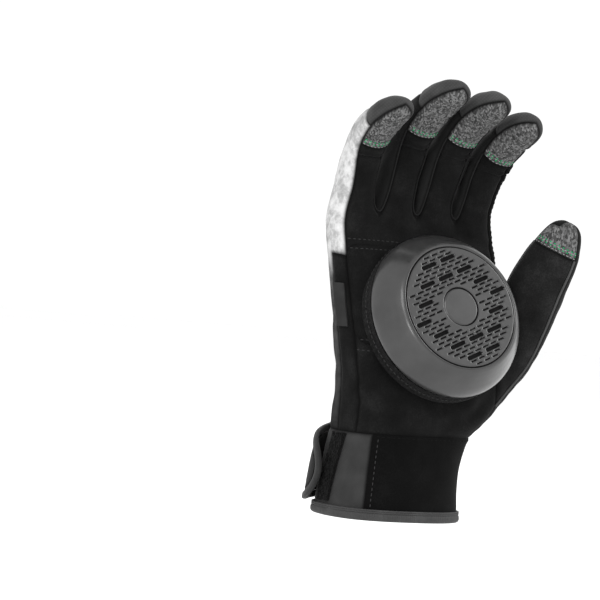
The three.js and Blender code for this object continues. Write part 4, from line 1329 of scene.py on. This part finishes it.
def colour_of(name, description, default):
    return FloatVectorProperty(
        name=name, description=description, default=grey(default), subtype="COLOR", min=0, max=1, size=3,
    )


def size_of(name, description, default, low, high):
    return FloatProperty(
        name=name, description=description, default=default, min=low, max=high,
        subtype="DISTANCE", unit="LENGTH",
    )


def angle_of(name, description, degrees):
    return FloatProperty(
        name=name, description=description, default=math.radians(degrees), subtype="ANGLE",
        unit="ROTATION",
    )


class GloveLook(bpy.types.PropertyGroup):
    """The colours and sizes of the glove's finish."""

    suede_colour: colour_of("Suede", "The palm, guard and thumb", 0.006)
    stretch_colour: colour_of("Stretch cloth", "Between the fingers and at the back of the thumb", 0.009)
    cap_colour: colour_of("Fingertip cloth", "The caps at the back of the fingertips", 0.044)
    knit_colour: colour_of("Heather knit", "The pads of the fingertips", 0.07)
    print_colour: colour_of("Print, light", "The light end of the back's misty print", 0.6)
    print_dark: colour_of("Print, dark", "The dark end of the back's misty print", 0.03)
    tape_colour: colour_of("Binding tape", "Round the hem, the strap and the keyhole", 0.035)
    fuzz_colour: colour_of("Hook and loop", "The loop patch and the disc under the puck", 0.004)
    puck_colour: colour_of("Puck", "The slide puck's plastic", 0.026)
    # The colour of the painted seam shade along the panels' rims.
    seam_shade_colour: colour_of("Seams", "The shade along the panels' rims", 0.002)
    # Painted shade in the puck's tread: the grooves' colour stands in for the shade in their recesses.
    groove_shade_colour: colour_of("Grooves", "The worn-in dirt in the puck's tread", 0.004)
    rubber_colour: colour_of("Emblem base", "The rubber patch on the strap", 0.02)
    green_colour: colour_of("Green", "The emblem's bars and the fingertips' stitches", (0.003, 0.5, 0.17))
    thread_colour: colour_of("Thread", "The stitches on the suede", 0.02)
    piping_colour: colour_of("Piping", "The rolled edge along the thumb's seam", 0.06)
    stitch_length: size_of("Stitch", "Length of one stitch", 1.9 * MM, 0.5 * MM, 5 * MM)
    stitch_gap: size_of("Gap", "Between two stitches", 0.9 * MM, 0.2 * MM, 5 * MM)
    thread_width: size_of("Thread", "Width of the thread", 0.55 * MM, 0.2 * MM, 1.5 * MM)
    distance: size_of("Camera distance", "From the wrist opening to the camera", 1.5, 0.5, 5)
    azimuth: angle_of("Azimuth", "The camera's side of the palm", -32)
    elevation: angle_of("Elevation", "The camera's height over the horizon", 5)
    lean: angle_of("Lean", "How far the glove leans clockwise in the frame", 5)


# The stage: the floor and its lights in metres, and where the wrist opening is in the frame, in pixels.
FLOOR = {"radius": 6, "height": -0.05, "corners": 64, "grain": 400}
FLOOR_TONES = [(0.3, 0.93), (0.7, 0.95)]
SKY_STRENGTH = 1.06
LIGHTS = [
    {"name": "key", "at": (-1.5, -1.2, 1.5), "size": 1.0, "power": 16},
    {"name": "strip", "at": (-1.3, -1.6, 0.35), "size": 0.5, "power": 9},
    {"name": "rim", "at": (1.6, -0.6, 1.0), "size": 0.8, "power": 12},
    {"name": "back", "at": (0.6, 1.7, 1.2), "size": 1.0, "power": 10},
]
LIGHTS_AIM = (0.015, 0, 0.11)
FRAME_PIXELS = 600
PIXEL = 0.53 * MM
OPENING_RIGHT = 86
OPENING_BELOW = 217
SENSOR_WIDTH = 36
CLIP_START = 0.05


class Maker:
    """What the glove's operators share."""

    bl_options = {"REGISTER", "UNDO"}

    def execute(self, context):
        self.make(context.scene.glove_look)
        return {"FINISHED"}


class GLOVE_OT_stage(Maker, bpy.types.Operator):
    """Pale floor, soft studio light and the camera at the photograph's angle"""

    bl_idname = "glove.stage"
    bl_label = "Stage"

    def make(self, look):
        scene = bpy.context.scene
        scene.view_settings.view_transform = "Standard"
        mesh = bpy.data.meshes.new("floor")
        radius, height, corners = FLOOR["radius"], FLOOR["height"], FLOOR["corners"]
        ring = [(radius * math.cos(t), radius * math.sin(t), height) for t in circle(corners)]
        mesh.from_pydata(ring, [], [tuple(range(corners))])
        floor = bpy.data.objects.new("floor", mesh)
        scene.collection.objects.link(floor)
        g = Graph("pale_floor", Roughness=0.9, Specular_IOR_Level=0.1)
        g.colour(g.ramp(g.noise(size=FLOOR["grain"], detail=2), FLOOR_TONES))
        mesh.materials.append(g.material)

        world = bpy.data.worlds.new("studio")
        world.use_nodes = True
        sky = world.node_tree.nodes["Background"].inputs
        sky["Color"].default_value = (1, 1, 1, 1)
        sky["Strength"].default_value = SKY_STRENGTH
        scene.world = world
        for row in LIGHTS:
            lamp = bpy.data.lights.new(row["name"], "AREA")
            lamp.size = row["size"]
            lamp.energy = row["power"]
            obj = bpy.data.objects.new(row["name"], lamp)
            obj.location = row["at"]
            aim = Vector(LIGHTS_AIM) - Vector(row["at"])
            obj.rotation_euler = aim.to_track_quat("-Z", "Y").to_euler()
            scene.collection.objects.link(obj)
        self.camera(scene, look)

    def camera(self, scene, look):
        """A camera at the photograph's angle, turned so that the wrist opening lies off its middle."""
        a, e, lean = look.azimuth, look.elevation, look.lean
        back = Vector((math.sin(a) * math.cos(e), -math.cos(a) * math.cos(e), math.sin(e)))
        right = Vector((math.cos(a), math.sin(a), 0))
        up = back.cross(right)
        across = right * math.cos(lean) + up * math.sin(lean)
        above = up * math.cos(lean) - right * math.sin(lean)
        facing = Matrix((across, above, back)).transposed()
        sight = Vector((OPENING_RIGHT, -OPENING_BELOW, -look.distance / PIXEL)).normalized()
        turn = sight.rotation_difference(Vector((0, 0, -1))).to_matrix()
        data = bpy.data.cameras.new("camera")
        data.sensor_width = SENSOR_WIDTH
        data.lens = data.sensor_width * look.distance / (FRAME_PIXELS * PIXEL)
        data.clip_start = CLIP_START
        camera = bpy.data.objects.new("camera", data)
        camera.matrix_world = Matrix.Translation(back * look.distance) @ (facing @ turn).to_4x4()
        scene.collection.objects.link(camera)
        scene.camera = camera


class GLOVE_OT_panels(Maker, bpy.types.Operator):
    """The sewn panels, with their folds, tucked seams and lining"""

    bl_idname = "glove.panels"
    bl_label = "Sewn panels"

    def make(self, look):
        for name in skin()["names"]:
            kind = next(k for k in PANELS if name.startswith(k))
            finish, slot, lift, tuck, soft = PANELS[kind]
            p, n, faces, folded = panel_part(name)
            if name == "back_panel":
                p, n, faces, used = clip(p, n, faces, self.keyhole(p))
                folded = nearest_values(p, panel_part(name))
            points, groups, shade = sew_panel(name, p, n, faces, lift, tuck, soft, SHELL_WALL, folded)
            # Each panel carries its painted seam shade.
            piece(name + "_cloth", points, groups, material(finish), [name], painted_seam_shade=shade)

    def keyhole(self, p):
        """Below 0 outside the keyhole's opening."""
        heights = np.linspace(CUFF_HEIGHT, KEYHOLE["top"], KEYHOLE_CUT["steps"])
        centre = np.array([skin_at(KEYHOLE["angle"], z) for z in heights])
        x = np.interp(p[:, 2], centre[:, 2], centre[:, 0])
        y = np.interp(p[:, 2], centre[:, 2], centre[:, 1])
        top = KEYHOLE["top"] - KEYHOLE_CUT["under_tape"]
        rise = np.clip((p[:, 2] - KEYHOLE["root"]) / (top - KEYHOLE["root"]), 0, None)
        half = KEYHOLE["half"] / DEGREES_PER_MM * KEYHOLE["share"]
        away = np.hypot(p[:, 0] - x, p[:, 1] - y)
        inside = half * np.sqrt(np.clip(1 - rise**2, 0, None)) - away
        inside = np.where(p[:, 1] < 0, -away, inside)
        foot = STRAP_HIGH + KEYHOLE_CUT["over_strap"]
        return np.where(rise > 1, KEYHOLE_CUT["outside"], np.minimum(inside, p[:, 2] - foot))


def nearest_values(p, part):
    """The folds' heights of a part at other points."""
    _, at = nearest(p, part[0])
    return part[3][at]


class GLOVE_OT_overlay(Maker, bpy.types.Operator):
    """The second layer of suede on the palm, under the disc"""

    bl_idname = "glove.overlay"
    bl_label = "Palm overlay"

    def make(self, look):
        part = panel_part("palm_panel")
        q, m, cut, _ = clip(*part[:3], self.field(part[0]))
        lift = CLOTH_GAP + OVERLAY["thick"] - OVERLAY["sunk"]
        points, groups, shade = sew_panel(
            "palm_overlay", q, m, cut, lift, OVERLAY["tuck"], OVERLAY["soft"], 0, nearest_values(q, part))
        # The overlay carries its painted seam shade.
        piece(
            "palm_overlay_cloth", points, groups, material("suede"), ["palm_overlay"],
            painted_seam_shade=shade)

    def field(self, p):
        """Below 0 inside the overlay's outline, which has rounded corners at its pinky side."""
        middle = (OVERLAY["low"] + OVERLAY["high"]) / 2
        half = (OVERLAY["high"] - OVERLAY["low"]) / 2
        edge = np.interp(p[:, 2], OVERLAY_EDGE["heights"], OVERLAY_EDGE["across"])
        r = OVERLAY["corner"]
        a = np.maximum(edge + r - p[:, 0], 0)
        b = np.maximum(np.abs(p[:, 2] - middle) - (half - r), 0)
        side = np.maximum(p[:, 0] - OVERLAY_EDGE["right"], OVERLAY_EDGE["ease"])
        return np.maximum(np.hypot(a, b) - r, side)


class GLOVE_OT_stitches(Maker, bpy.types.Operator):
    """The rows of stitches along the seams, and the thumb's piping"""

    bl_idname = "glove.stitches"
    bl_label = "Stitches and piping"

    def make(self, look):
        long, gap, thick = (x / MM for x in (look.stitch_length, look.stitch_gap, look.thread_width))
        threads = {
            name: Thread(long * row["long"], gap * row["gap"], thick * row["thick"])
            for name, row in THREADS.items()
        }
        dark, pale = threads["dark"], threads["grey"]
        dark.rows("web_guard", sewn["web_guard"]["away"], GUARD_ROWS)
        self.along(pale, "cuff_front", "cuff_back", CUFF_SIDE_ROWS, lambda q: q[0] < 0)
        self.along(dark, "cuff_front", "palm_panel", CUFF_TOP_ROWS)
        for name in [finger["name"] for finger in FINGERS] + ["thumb"]:
            base = "thumb_front" if name == "thumb" else "palm_panel"
            for colour, levels in TIP_ROWS.items():
                self.along(threads[colour], "tip_patch_" + name, base, levels)
        height, rows = sewn["palm_overlay"]["flat"][:, 2], OVERLAY_ROWS
        for side in ("low", "high"):
            past = height - OVERLAY["low"] if side == "low" else OVERLAY["high"] - height
            pale.rows("palm_overlay", past, (rows[side],), lambda q: q[0] < rows["until"])
        height, rows = sewn["palm_panel"]["flat"][:, 2], PALM_ROWS
        for side, past in (("over", height - OVERLAY["high"]), ("under", OVERLAY["low"] - height)):
            until = rows[side + "_until"]
            pale.rows(
                "palm_panel", past, (rows[side],),
                lambda q, until=until: q[1] < rows["front_of"] and q[0] < until)
        for name, row in THREADS.items():
            threads[name].done(f"{name}_stitches", material(f"{name}_thread"), row["slot"])
        self.piping()

    def along(self, thread, name, other, levels, keep=None):
        """Rows at some distances from the seam between a panel and another."""
        part, s = sewn[name], skin()
        spots = np.concatenate([s["p"][run] for run in seam(name, other)])
        away, _ = nearest(part["flat"], spots)
        reach = max(levels) + ROW_MARGIN
        for level in levels:
            for p, n in contour(part["p"], part["n"], part["f"], away, level):
                near, _ = nearest(p, spots)
                thread.row(p[near < reach], n[near < reach], keep)

    def piping(self):
        """The piping in the seam on the thumb's outer side, and the raised seams of the fingers."""
        self.lay_piping("thumb_piping", "thumb_front", "thumb_back", PIPING_THICK, "piping", "binding_tape")
        for k in range(len(FINGERS) - 1):
            self.lay_piping(
                f"finger_seam_{k}", "palm_panel", f"fourchette_{k}", RAISED_SEAM_THICK,
                "raised_seam", "suede")

    def lay_piping(self, name, first, second, thick, finish, slot):
        """Piping along the longest stretches of the seam between two panels."""
        s = skin()
        section = round_section(thick, thick * PIPING["flat"], PIPING["sides"], 1)
        for i, run in enumerate(sorted(seam(first, second), key=len)[-PIPING_RUNS:]):
            p = s["p"][run] + s["n"][run] * (folds()[run][:, None] - PIPING["sunk"])
            q, m = even(relaxed(p, PIPING["ease"]), s["n"][run], PIPING["step"])
            path = framed(relaxed(q, PIPING["ease_again"]), m, False)
            points, faces, uv = sweep(path, section, False)
            piece(f"{name}_{i}", points, faces, material(finish), uv=uv)


class GLOVE_OT_bindings(Maker, bpy.types.Operator):
    """The ribbed hem binding, and the tapes round the strap and the keyhole"""

    bl_idname = "glove.bindings"
    bl_label = "Bindings"

    def make(self, look):
        self.hem()
        self.strap_tape()
        self.keyhole_tape()

    def hem(self):
        s = skin()
        run = runs(rim_of(s["f"]))[0][:-1]
        p, n = s["p"][run], s["n"][run]
        order = np.argsort(np.arctan2(p[:, 1], p[:, 0]))
        n = unit(n * (1, 1, 0))
        q, m = even(p[order], n[order], HEM_STEP, True)
        section = np.array(HEM_OUTER + HEM_INNER)
        far = np.arange(len(q)) * HEM_STEP
        rib = np.cos(2 * math.pi * far / HEM_RIB["pitch"]) * HEM_RIB["deep"]
        sections = np.broadcast_to(section, (len(q), *section.shape)).copy()
        for k, (up, _) in enumerate(HEM_OUTER):
            if HEM_RIB["from"] < up < HEM_RIB["to"]:
                sections[:, k, 1] += rib * (1 if up > HEM_RIB["top"] else -1)
        points, faces, uv = sweep(framed(q, m, True), sections, True)
        piece(
            "hem_binding_tape", points, faces, material("tape"), ["hem_binding"],
            SHARP_TAPE, uv)

    def tape(self, name, node, spots, wide, thick):
        path = path_on_skin(spots, TAPE["step"])
        sections = ribbed(path, round_section(wide, thick), TAPE["rib"], TAPE["rib_deep"])
        points, faces, uv = sweep(path, sections, False)
        piece(name, points, faces, material("dark_tape"), [node], SHARP_TAPE, uv)

    def strap_tape(self):
        reach = TAPE_WIDE / 2 + CLOTH_GAP
        middle, half = (STRAP_LOW + STRAP_HIGH) / 2, (STRAP_HIGH - STRAP_LOW) / 2
        end = STRAP_TO - STRAP_ROUND
        straight = np.linspace(STRAP_FROM, end, TAPE["straight"])
        spots = [(angle, STRAP_LOW - reach) for angle in straight]
        for turn in np.radians(np.arange(TAPE["start"], TAPE["turn"] - TAPE["start"], TAPE["turn"])):
            angle = end + (STRAP_ROUND + reach * DEGREES_PER_MM) * math.cos(turn)
            spots.append((angle, middle + (half + reach) * math.sin(turn)))
        spots += [(angle, STRAP_HIGH + reach) for angle in straight[::-1]]
        spots = [(a, z - strap_hang(a, z), strap_lift(a) + TAPE_THICK / 2) for a, z in spots]
        self.tape("strap_binding_tape", "strap_binding", spots, TAPE_WIDE, TAPE_THICK)

    def keyhole_tape(self):
        k = KEYHOLE
        lift = PIECE_GAP + KEYHOLE_THICK / 2
        legs = (k["foot"], (k["foot"] + k["root"]) / 2)
        spots = [(k["angle"] + k["half"], z, lift) for z in legs]
        for turn in np.radians(np.arange(0, 181, KEYHOLE_TURN)):
            z = k["root"] + (k["top"] - k["root"]) * math.sin(turn)
            spots.append((k["angle"] + k["half"] * math.cos(turn), z, lift))
        spots += [(k["angle"] - k["half"], z, lift) for z in legs[::-1]]
        self.tape("keyhole_tape", "keyhole_binding", spots, KEYHOLE_TAPE, KEYHOLE_THICK)


class GLOVE_OT_strap(Maker, bpy.types.Operator):
    """The wrist strap, whose rounded end stands off the cuff"""

    bl_idname = "glove.strap"
    bl_label = "Wrist strap"

    def make(self, look):
        middle, half = (STRAP_LOW + STRAP_HIGH) / 2, (STRAP_HIGH - STRAP_LOW) / 2
        form = STRAP_SHEET

        def angle_at(u):
            return STRAP_FROM + (STRAP_TO - STRAP_FROM) * (1 - (1 - u) ** form["ease"])

        def place(u, v):
            t = max(0, (angle_at(u) - STRAP_TO + STRAP_ROUND) / STRAP_ROUND)
            height = max(END_SHARE, math.sqrt(max(0, 1 - t * t)))
            z = middle + (2 * v - 1) * half * height
            return angle_at(u), z - strap_hang(angle_at(u), z)

        def low(u, v):
            return strap_lift(angle_at(u))

        def high(u, v):
            puff = form["puff"] * math.sin(math.pi * v) ** 0.5 if 0 < v < 1 else 0
            return low(u, v) + STRAP_THICK - form["sunk"] + puff

        points, groups, _ = sheet(form["size"], form["cells"], place, low, high, form["round"])
        piece("strap_cloth", points, groups, material("stretch"), ["wrist_strap"])
        thread = Thread(look.stitch_length / MM, look.stitch_gap / MM, look.thread_width / MM)
        along = np.linspace(STRAP_ROWS["from"], STRAP_ROWS["to"], STRAP_ROWS["count"])
        for v in STRAP_ROWS["at"]:
            spots = [skin_frame(*place(u, v)) for u in along]
            lifts = [high(u, v) + STRAP_ROWS["lift"] for u in along]
            p = np.array([q + m * lift for (q, m), lift in zip(spots, lifts)])
            thread.row(p, np.array([m for _, m in spots]))
        thread.done("strap_stitches", material("dark_thread"), "stretch_cloth")


class GLOVE_OT_patches(Maker, bpy.types.Operator):
    """The emblem patch with its slanted bars, the loop patch and the bare side tag"""

    bl_idname = "glove.patches"
    bl_label = "Patches and tag"

    def make(self, look):
        self.emblem()
        self.loop()
        self.tag()

    def on_patch(self, u, v):
        """The angle and height of a place on the emblem's patch."""
        return between(EMBLEM_ANGLES, 1 - u), between(EMBLEM_HEIGHTS, v)

    def base(self, u):
        """How far the patch's back is off the skin."""
        return strap_lift(self.on_patch(u, 0)[0]) + STRAP_THICK + PIECE_GAP

    def emblem(self):
        form, bar = EMBLEM_SHEET, BAR_SHEET
        size = form["size"]

        def high(u, v):
            away = min(min(u, 1 - u) * size[0], min(v, 1 - v) * size[1])
            rim = EMBLEM_RIM["high"] * float(smooth(away, EMBLEM_RIM["from"], EMBLEM_RIM["to"]))
            return self.base(u) + EMBLEM_THICK - form["sunk"] + rim

        points, groups, _ = sheet(
            size, form["cells"], self.on_patch, lambda u, v: self.base(u), high, form["round"])
        piece("emblem_base", points, groups, material("rubber"), ["emblem_patch"])
        count = 0
        for row in EMBLEM_ROWS:
            tall = (row["to"] - row["from"]) * size[1]
            for start, end in row["bars"]:
                count += 1

                def place(u, v, start=start, end=end, row=row):
                    a = start + (end - start) * u + EMBLEM_SLANT * (v - 0.5)
                    return a, row["from"] + (row["to"] - row["from"]) * v

                def face(u, v, place=place):
                    return self.base(place(u, v)[0]) + EMBLEM_THICK - form["sunk"]

                points, groups, _ = sheet(
                    ((end - start) * size[0], tall), bar["cells"],
                    lambda u, v: self.on_patch(*place(u, v)),
                    lambda u, v: face(u, v) - bar["sunk"],
                    lambda u, v: face(u, v) + bar["raised"] + PIECE_GAP + BAR_THICK - bar["sunk"],
                    bar["round"])
                piece(
                    f"green_bar_{count}", points, groups, material("green"),
                    [f"emblem_bar_{count}"])

    def loop(self):
        def place(u, v):
            return between(LOOP["angles"], u) + LOOP["slant"] * v, between(LOOP["heights"], v)

        form = LOOP_SHEET
        points, groups, faces = sheet(
            form["size"], form["cells"], place, lambda u, v: CLOTH_GAP - form["sunk"],
            lambda u, v: CLOTH_GAP + LOOP["thick"], form["round"])
        top = len(points) // 2
        n = normals_of(points[:top], faces)
        shag = sum(row["high"] * ripple(points[:top], row["size"], row["seed"]) for row in LOOP_SHAG)
        points[:top] += n * shag[:, None]
        piece(
            "loop_patch_fuzz", points, groups, material("fuzz"), ["loop_patch"],
            SHARP_LOOP)

    def tag(self):
        def place(u, v):
            return between(TAG["angles"], u), CUFF_HEIGHT + between(TAG["heights"], v) * PALM_LENGTH

        form = TAG_SHEET
        points, groups, _ = sheet(
            form["size"], form["cells"], place, lambda u, v: CLOTH_GAP - form["sunk"],
            lambda u, v: CLOTH_GAP + TAG["thick"], form["round"])
        piece("bare_tag", points, groups, material("tag"), ["side_tag"])


def puck_frame():
    """The puck's own axes and the middle of the disc's front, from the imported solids."""
    tilt = math.radians(PUCK_TILT)
    out = np.array([0, -math.cos(tilt), math.sin(tilt)])
    up = np.array([0, math.sin(tilt), math.cos(tilt)])
    across = np.array([1.0, 0, 0])
    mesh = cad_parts["slide_puck"].data
    p = np.array([v.co for v in mesh.vertices]) / MM
    back = (p @ out).min()
    ring = p[p @ out < back + FOOT_REACH]
    centre = (ring.max(0) + ring.min(0)) / 2
    centre = centre + out * (back - centre @ out)
    return across, up, out, centre


class GLOVE_OT_disc(Maker, bpy.types.Operator):
    """The fuzzy disc that holds the puck to the palm, with its ring of stitches"""

    bl_idname = "glove.disc"
    bl_label = "Hook disc"

    def make(self, look):
        across, up, out, centre = puck_frame()
        front = centre - out * PIECE_GAP
        turn = circle(DISC_SIDES)
        ray = np.cos(turn)[:, None] * across + np.sin(turn)[:, None] * up
        foot = self.foot(ray, front, out)
        rings = []
        for radius, depth in DISC_FRONT:
            rings.append(front + ray * radius - out * np.minimum(depth, foot * DISC_FRONT_LIMIT)[:, None])
        for share in DISC_WALL["shares"]:
            radius = DISC_RADIUS - DISC_WALL["in"] + DISC_WALL["swell"] * share ** DISC_WALL["power"]
            depth = np.maximum(DISC_WALL["lip"], foot * share)
            depth = np.minimum(depth, np.maximum(foot, DISC_WALL["end"]))
            rings.append(front + ray * radius - out * depth[:, None])
        depth = np.maximum(foot, DISC_BACK["deep"])
        rings.append(front + ray * (DISC_RADIUS - DISC_BACK["in"]) - out * depth[:, None])
        rings.append(front + ray * DISC_CAP - out * DISC_BACK["deep"])
        shag = np.concatenate([ripple(ring, DISC_SHAG["size"], DISC_SHAG["seed"]) for ring in rings])
        number = np.repeat(np.arange(len(rings)), DISC_SIDES)
        wall = (number >= DISC_SHAG["first"]) & (number <= DISC_SHAG["last"])
        away = np.tile(ray, (len(rings), 1)) * (DISC_SHAG["high"] * shag * wall)[:, None]
        around = np.arange(DISC_SIDES)
        caps = [np.array([around]), np.array([(around + (len(rings) - 1) * DISC_SIDES)[::-1]])]
        quads = lattice(len(rings), DISC_SIDES)[:, [0, 3, 2, 1]]
        piece(
            "disc_fuzz", np.concatenate(rings) + away, [quads, *caps], material("fuzz"),
            ["hook_disc"])
        self.stitches(look, ray, front, out, foot)

    def foot(self, ray, front, out):
        """How far below the disc's front the palm is, all round its rim."""
        trees = [
            BVHTree.FromPolygons(sewn[name]["p"].tolist(), sewn[name]["f"].tolist())
            for name in ("palm_overlay", "palm_panel")
        ]
        foot = []
        for way in ray:
            start = Vector(front + way * DISC_RADIUS)
            hits = [tree.ray_cast(start, Vector(-out), DISC_DEPTH)[3] for tree in trees]
            foot.append(min([DISC_DEPTH, *(far for far in hits if far is not None)]))
        foot = np.array(foot)
        for _ in range(DISC_EASE):
            foot = np.minimum(foot, (np.roll(foot, 1) + np.roll(foot, -1)) / 2)
        return foot

    def stitches(self, look, ray, front, out, foot):
        thread = Thread(look.stitch_length / MM, look.stitch_gap / MM, look.thread_width / MM)
        depth = np.minimum(DISC_STITCHES["deep"], foot - DISC_STITCHES["over_palm"])
        ring = front + ray * (DISC_RADIUS + DISC_STITCHES["out"]) - out * depth[:, None]
        thread.row(np.vstack([ring, ring[:2]]), np.vstack([ray, ray[:2]]))
        thread.done("disc_stitches", material("grey_thread"), "hook_and_loop")


class GLOVE_OT_puck(Maker, bpy.types.Operator):
    """The slide puck with its tread of short grooves round a plain hub"""

    bl_idname = "glove.puck"
    bl_label = "Slide puck"

    def make(self, look):
        across, up, out, centre = puck_frame()
        count = PUCK_SIDES
        turn = circle(count)
        radii = np.arange(FIELD_RADIUS + TREAD_REACH["past"], TREAD_REACH["end"], -TREAD_STEP)
        profile = self.refined(PUCK_PROFILE + [(r, PUCK_PROFILE[-1][1]) for r in radii])
        r, h = np.array(profile).T
        x = r[:, None] * np.cos(turn)
        y = r[:, None] * np.sin(turn)
        tread = self.depth(x, y)
        z = h[:, None] - tread
        p = centre + x[..., None] * across + y[..., None] * up + z[..., None] * out
        quads = lattice(len(profile), count)
        # Faces deep in the tread take the groove material, painted shade in the grooves.
        grooved = tread.ravel()[quads].mean(1) > GROOVED_FROM
        around = np.arange(count)
        caps = [np.array([around[::-1]]), np.array([around + (len(profile) - 1) * count])]
        piece(
            "puck_plastic", p.reshape(-1, 3), [quads, *caps], material("plastic"),
            ["slide_puck"], SHARP_PUCK, second=(material("groove"), [*grooved, 0, 0]))

    def refined(self, profile):
        """The profile with a point between each two of the rounded shoulder."""
        shape = [profile[0]]
        for a, b in zip(profile, profile[1:]):
            if a[0] > FIELD_RADIUS + SHOULDER_PAST:
                shape.append(((a[0] + b[0]) / 2, (a[1] + b[1]) / 2))
            shape.append(b)
        return shape

    def depth(self, x, y):
        """How deep the tread is at a point of the face."""
        slant = math.radians(GROOVE_SLANT)
        a = x * math.cos(slant) + y * math.sin(slant)
        b = -x * math.sin(slant) + y * math.cos(slant)
        main = self.courses(a, b, GROOVES, FIELD_RADIUS, HUB_RADIUS, 0)
        far, hub = FIELD_RADIUS - FINE_MARGIN["rim"], HUB_RADIUS - FINE_MARGIN["hub"]
        fine = self.courses(a, b, FINE_GROOVES, far, hub, FINE_SKIP)
        around = np.hypot(x, y)
        rings = [
            row["deep"] * np.exp(-(((around - radius + row["in"]) / row["wide"]) ** LINE_POWER))
            for radius, row in ((FIELD_RADIUS, RIM_LINE), (HUB_RADIUS, HUB_LINE))
        ]
        return np.maximum.reduce([main, fine, *rings])

    def courses(self, a, b, row, far, near_hub, left_out):
        """The depth of grooves in staggered courses. Each course that left_out divides stays bare."""
        step, pitch, long = row["step"], row["pitch"], row["long"]
        depth = np.zeros_like(a)
        courses = int(far // step) + 1
        for course in range(-courses, courses + 1):
            if left_out and course % left_out == 0:
                continue
            shift = 0 if course % 2 == 0 else pitch / 2
            for k in range(-int(far // pitch) - 1, int(far // pitch) + 2):
                cx, cy = k * pitch + shift, course * step
                if math.hypot(abs(cx) + long / 2, cy) > far:
                    continue
                if math.hypot(max(0, abs(cx) - long / 2), cy) < near_hub:
                    continue
                half = (long - row["wide"]) / 2
                away = np.hypot(np.maximum(np.abs(a - cx) - half, 0), b - cy)
                share = np.clip(GROOVE_WALL["edge"] - away / (row["wide"] / 2), 0, GROOVE_WALL["bevel"])
                share = (share / GROOVE_WALL["bevel"]) ** GROOVE_WALL["power"]
                depth = np.maximum(depth, row["deep"] * share)
        return depth


class GLOVE_PT_panel(bpy.types.Panel):
    """The glove's pieces and its look"""

    bl_idname = "GLOVE_PT_panel"
    bl_label = "Slide glove"
    bl_space_type = "VIEW_3D"
    bl_region_type = "UI"
    bl_category = "Glove"

    def draw(self, context):
        for operator in OPERATORS:
            self.layout.operator(operator.bl_idname)
        for name in GloveLook.__annotations__:
            self.layout.prop(context.scene.glove_look, name)


OPERATORS = (
    GLOVE_OT_stage,
    GLOVE_OT_panels,
    GLOVE_OT_overlay,
    GLOVE_OT_stitches,
    GLOVE_OT_bindings,
    GLOVE_OT_strap,
    GLOVE_OT_patches,
    GLOVE_OT_disc,
    GLOVE_OT_puck,
)
CLASSES = (GloveLook, *OPERATORS, GLOVE_PT_panel)


def register():
    for cls in CLASSES:
        bpy.utils.register_class(cls)
    bpy.types.Scene.glove_look = PointerProperty(type=GloveLook)


def unregister():
    del bpy.types.Scene.glove_look
    for cls in reversed(CLASSES):
        bpy.utils.unregister_class(cls)


def main():
    register()
    for operator in OPERATORS:
        getattr(bpy.ops.glove, operator.bl_idname.split(".")[1])()
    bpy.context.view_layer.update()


if __name__ == "__main__":
    main()
